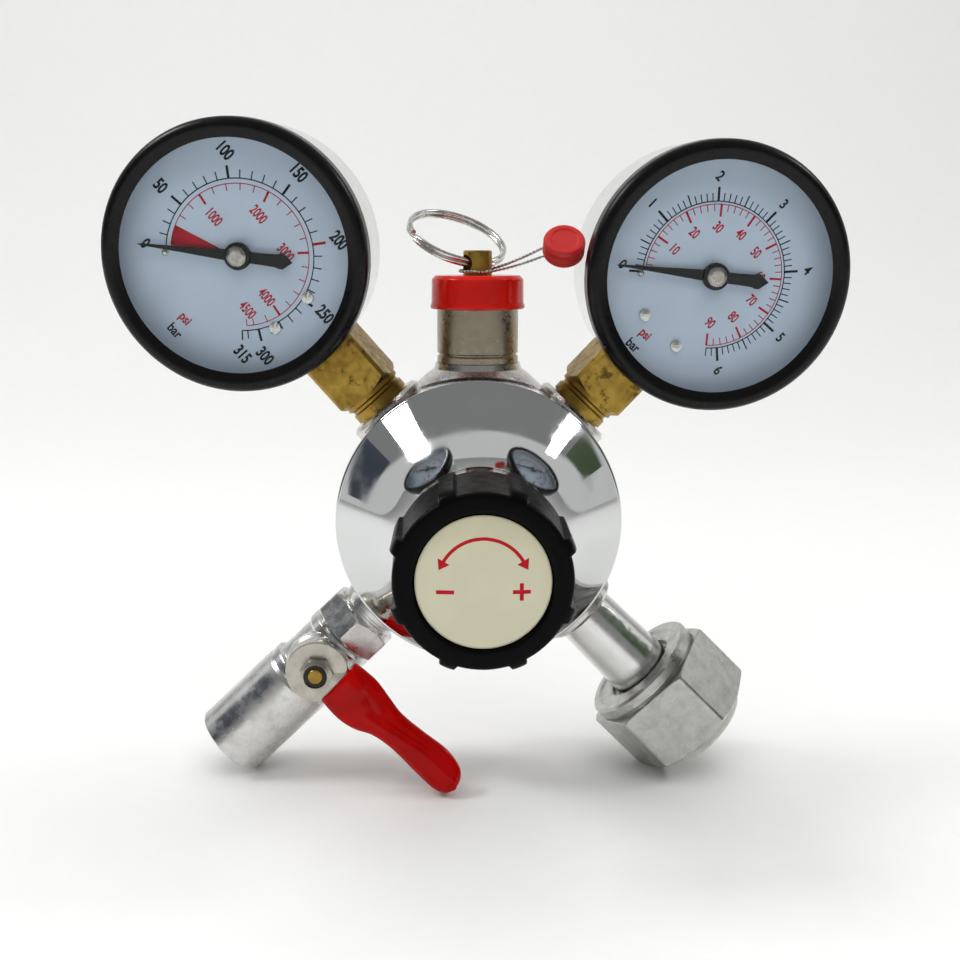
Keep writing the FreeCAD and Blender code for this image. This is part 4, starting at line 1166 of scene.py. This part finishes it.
def low_dial(place):
    """Scale of the working-pressure gauge: 0 to 6 bar outside in black, psi inside in red."""
    black, red = Print(place), Print(place)
    per_bar = 43.4
    up = 90.0

    def angle(bar):
        return 219.9 - bar * per_bar

    black.band(angle(0), angle(6.2), 16.6, 16.85)
    for tenth in range(0, 63):
        length, width = (3.2, 0.55) if tenth % 10 == 0 else (2.6, 0.3) if tenth % 5 == 0 else (1.9, 0.24)
        black.tick(angle(tenth / 10), 16.7, 16.7 + length, width)
    for bar in range(1, 7):
        black.text(str(bar), angle(bar), 22.2, 2.4, up, narrow=0.85, bold=0.08)
    black.text("0", 216.5, 21.6, 2.3, up, narrow=0.85)
    black.text("bar", 264.6, 24.2, 2.3, up, narrow=0.8)

    red.band(angle(0.1), angle(90 * BAR_PER_PSI), 16.0, 16.2)
    for value in range(2, 91, 2):
        major = value % 10 == 0
        red.tick(angle(value * BAR_PER_PSI), 13.3 if major else 14.5, 16.1, 0.5 if major else 0.22)
    for value in range(10, 91, 10):
        radius = 10.9 if value != 10 else 11.3
        red.text(str(value), angle(value * BAR_PER_PSI) + 1.5, radius, 2.3, up, narrow=0.66)
    red.text("psi", 264.4, 20.4, 2.2, up, narrow=0.8)
    black.finish("low_scale_black", BLACK_INK)
    red.finish("low_scale_red", RED_INK)


def pointer(name, place, zero):
    """Tapering black pointer with its arrow-shaped tail, hub ring and nickel button."""
    back, thick = 7.25, 0.45
    half = [(-12.6, 0.0), (-10.6, 1.7), (-9.6, 1.75), (-8.8, 1.45), (-5.2, 1.3), (-2.0, 1.3), (0.0, 1.3),
            (4.0, 1.2), (12.0, 0.72), (22.6, 0.22), (23.4, 0.0)]
    outline = half + [(x, -y) for x, y in reversed(half[1:-1])]
    turn = place @ Matrix.Rotation(math.radians(zero), 4, "Z")
    shape = bmesh.new()
    rings = []
    for height, share in ((back, 1.0), (back + thick * 0.7, 1.0), (back + thick, 0.82)):
        rings.append([shape.verts.new(turn @ Vector((x, y * share, height))) for x, y in outline])
    loft(shape, rings)
    shape.faces.new(list(reversed(rings[0])))
    shape.faces.new(rings[-1])
    body = name + "_pointer_body"
    piece = new_piece(name + "_blade", mesh_of(name + "_blade", shape), body, "pointer_black",
                      [name + "_pointer"])
    weigh_normals(piece, 25)
    hub = [(0.9, 6.6), (3.1, 6.6), (3.1, 8.1), (2.8, 8.4), (0.9, 8.4)]
    turned(name + "_hub", hub, place, body, "pointer_black", rounding=0.25, count=64)
    button = [(0, -0.9), (0.78, -0.9), (0.78, 8.35), (2.3, 8.4), (2.25, 8.85), (1.6, 9.2), (0.85, 9.24),
              (0.65, 9.0), (0, 9.0)]
    turned(name + "_button", button, place, body, "pinion_nickel", rounding=0.2, count=64)


def stop_pin(name, place, zero):
    """Bright pin beside the zero that the pointer comes to rest on."""
    reach_r, behind_zero = 17.2, 4.5
    spot = place @ Matrix.Translation((*polar(reach_r, zero + behind_zero), 0))
    outline = [(0, DIAL_FRONT - 0.3), (0.75, DIAL_FRONT - 0.3), (0.75, DIAL_FRONT + 0.8),
               (0.4, DIAL_FRONT + 1.05), (0, DIAL_FRONT + 1.1)]
    turned(name + "_stop_pin", outline, spot, "regulator", "dial_screw_steel", rounding=0.2, count=32)


def gauges():
    """Both gauges, with their zero stops and their pointers at rest."""
    for name, zero, print_dial in (("high", 132.0, high_dial), ("low", 216.8, low_dial)):
        place = gauge_frame(name)
        gauge_shell(name, place)
        print_dial(place)
        stop_pin(name, place, zero)
        pointer(name, place, zero)


# Stage ----------------------------------------------------------------------------------------

def stage_sheet(name, points, faces, material, smooth=False):
    """A sheet of the studio, in metres."""
    mesh = bpy.data.meshes.new(name)
    mesh.from_pydata(points, [], faces)
    mesh.polygons.foreach_set("use_smooth", [smooth] * len(mesh.polygons))
    mesh.materials.append(material)
    link_object(name, mesh)


def backdrop():
    """A pale sweep: floor that curves up into the wall."""
    paper = moulded("paper", (0.86, 0.86, 0.85), rough=(0.6, 0.7), depth=0.01, scale=400, tint=0.01)
    rows = [(-2.5, 0.0), (0.5, 0.0)] + arc_points((0.5, 0.6), 0.6, -85, 0, 17) + [(1.1, 2.4)]
    width = 2.4
    points = []
    for y, z in rows:
        points += [(-width, y, z), (width, y, z)]
    faces = [(first, first + 1, first + 3, first + 2) for first in range(0, 2 * len(rows) - 2, 2)]
    stage_sheet("sweep", points, faces, paper, smooth=True)


def flags():
    """Cards out of sight at both sides, which give the chrome something to mirror."""
    slate = moulded("flag_slate", (0.03, 0.04, 0.06), rough=(0.7, 0.8))
    moss = moulded("flag_moss", (0.05, 0.075, 0.035), rough=(0.7, 0.8))
    earth = moulded("flag_earth", (0.07, 0.05, 0.035), rough=(0.7, 0.8))
    for name, x, low, high, material in (("flag_left", -1.0, 0.10, 0.62, slate),
                                         ("flag_right_low", 1.0, 0.10, 0.32, earth),
                                         ("flag_right_high", 1.0, 0.32, 0.68, moss)):
        corners = [(x, -0.9, low), (x, 0.09, low), (x, 0.05, high), (x, -0.9, high)]
        stage_sheet(name, corners, [(0, 1, 2, 3)], material)


def area_light(name, place, target, size, power, glossy=True):
    data = bpy.data.lights.new(name, "AREA")
    data.shape = "RECTANGLE"
    data.size, data.size_y = size
    data.energy = power
    light = link_object(name, data)
    light.location = place
    light.rotation_euler = (Vector(target) - Vector(place)).to_track_quat("-Z", "Y").to_euler()
    light.visible_glossy = glossy


def lights():
    """Two windows at the sides, a broad soft fill, and a room that is dim in front and pale behind."""
    area_light("window_left", (-0.92, 0.0, 1.05), (0, 0, 0.08), (0.42, 0.34), 6.0)
    area_light("window_right", (0.98, 0.0, 0.86), (0, 0, 0.08), (0.26, 0.16), 2.3)
    area_light("fill", (0.1, -0.9, 1.5), (0, 0, 0.05), (1.6, 1.2), 11.5, glossy=False)
    area_light("top", (0.0, 0.25, 1.6), (0, 0, 0), (1.6, 1.0), 8.8, glossy=False)
    world = bpy.data.worlds.new("room")
    bpy.context.scene.world = world
    world.use_nodes = True
    tree = world.node_tree
    background = tree.nodes["Background"]
    coordinates = tree.nodes.new("ShaderNodeTexCoord")
    parts = tree.nodes.new("ShaderNodeSeparateXYZ")
    room = map_range(tree, "SMOOTHSTEP", 0.04, 0.075, 0.25, 0.66)
    tree.links.new(coordinates.outputs["Generated"], parts.inputs["Vector"])
    tree.links.new(parts.outputs["Y"], room.inputs["Value"])
    tree.links.new(room.outputs["Result"], background.inputs["Color"])


# Making ---------------------------------------------------------------------------------------

camera()
dress_cad_nodes()
bonnet()
adjusting_knob()
knob_label()
relief_valve()
split_ring()
seal_and_wire()
inlet()
outlet_valve()
lever()
gauges()
backdrop()
flags()
lights()
bpy.context.scene.view_settings.view_transform = "Standard"
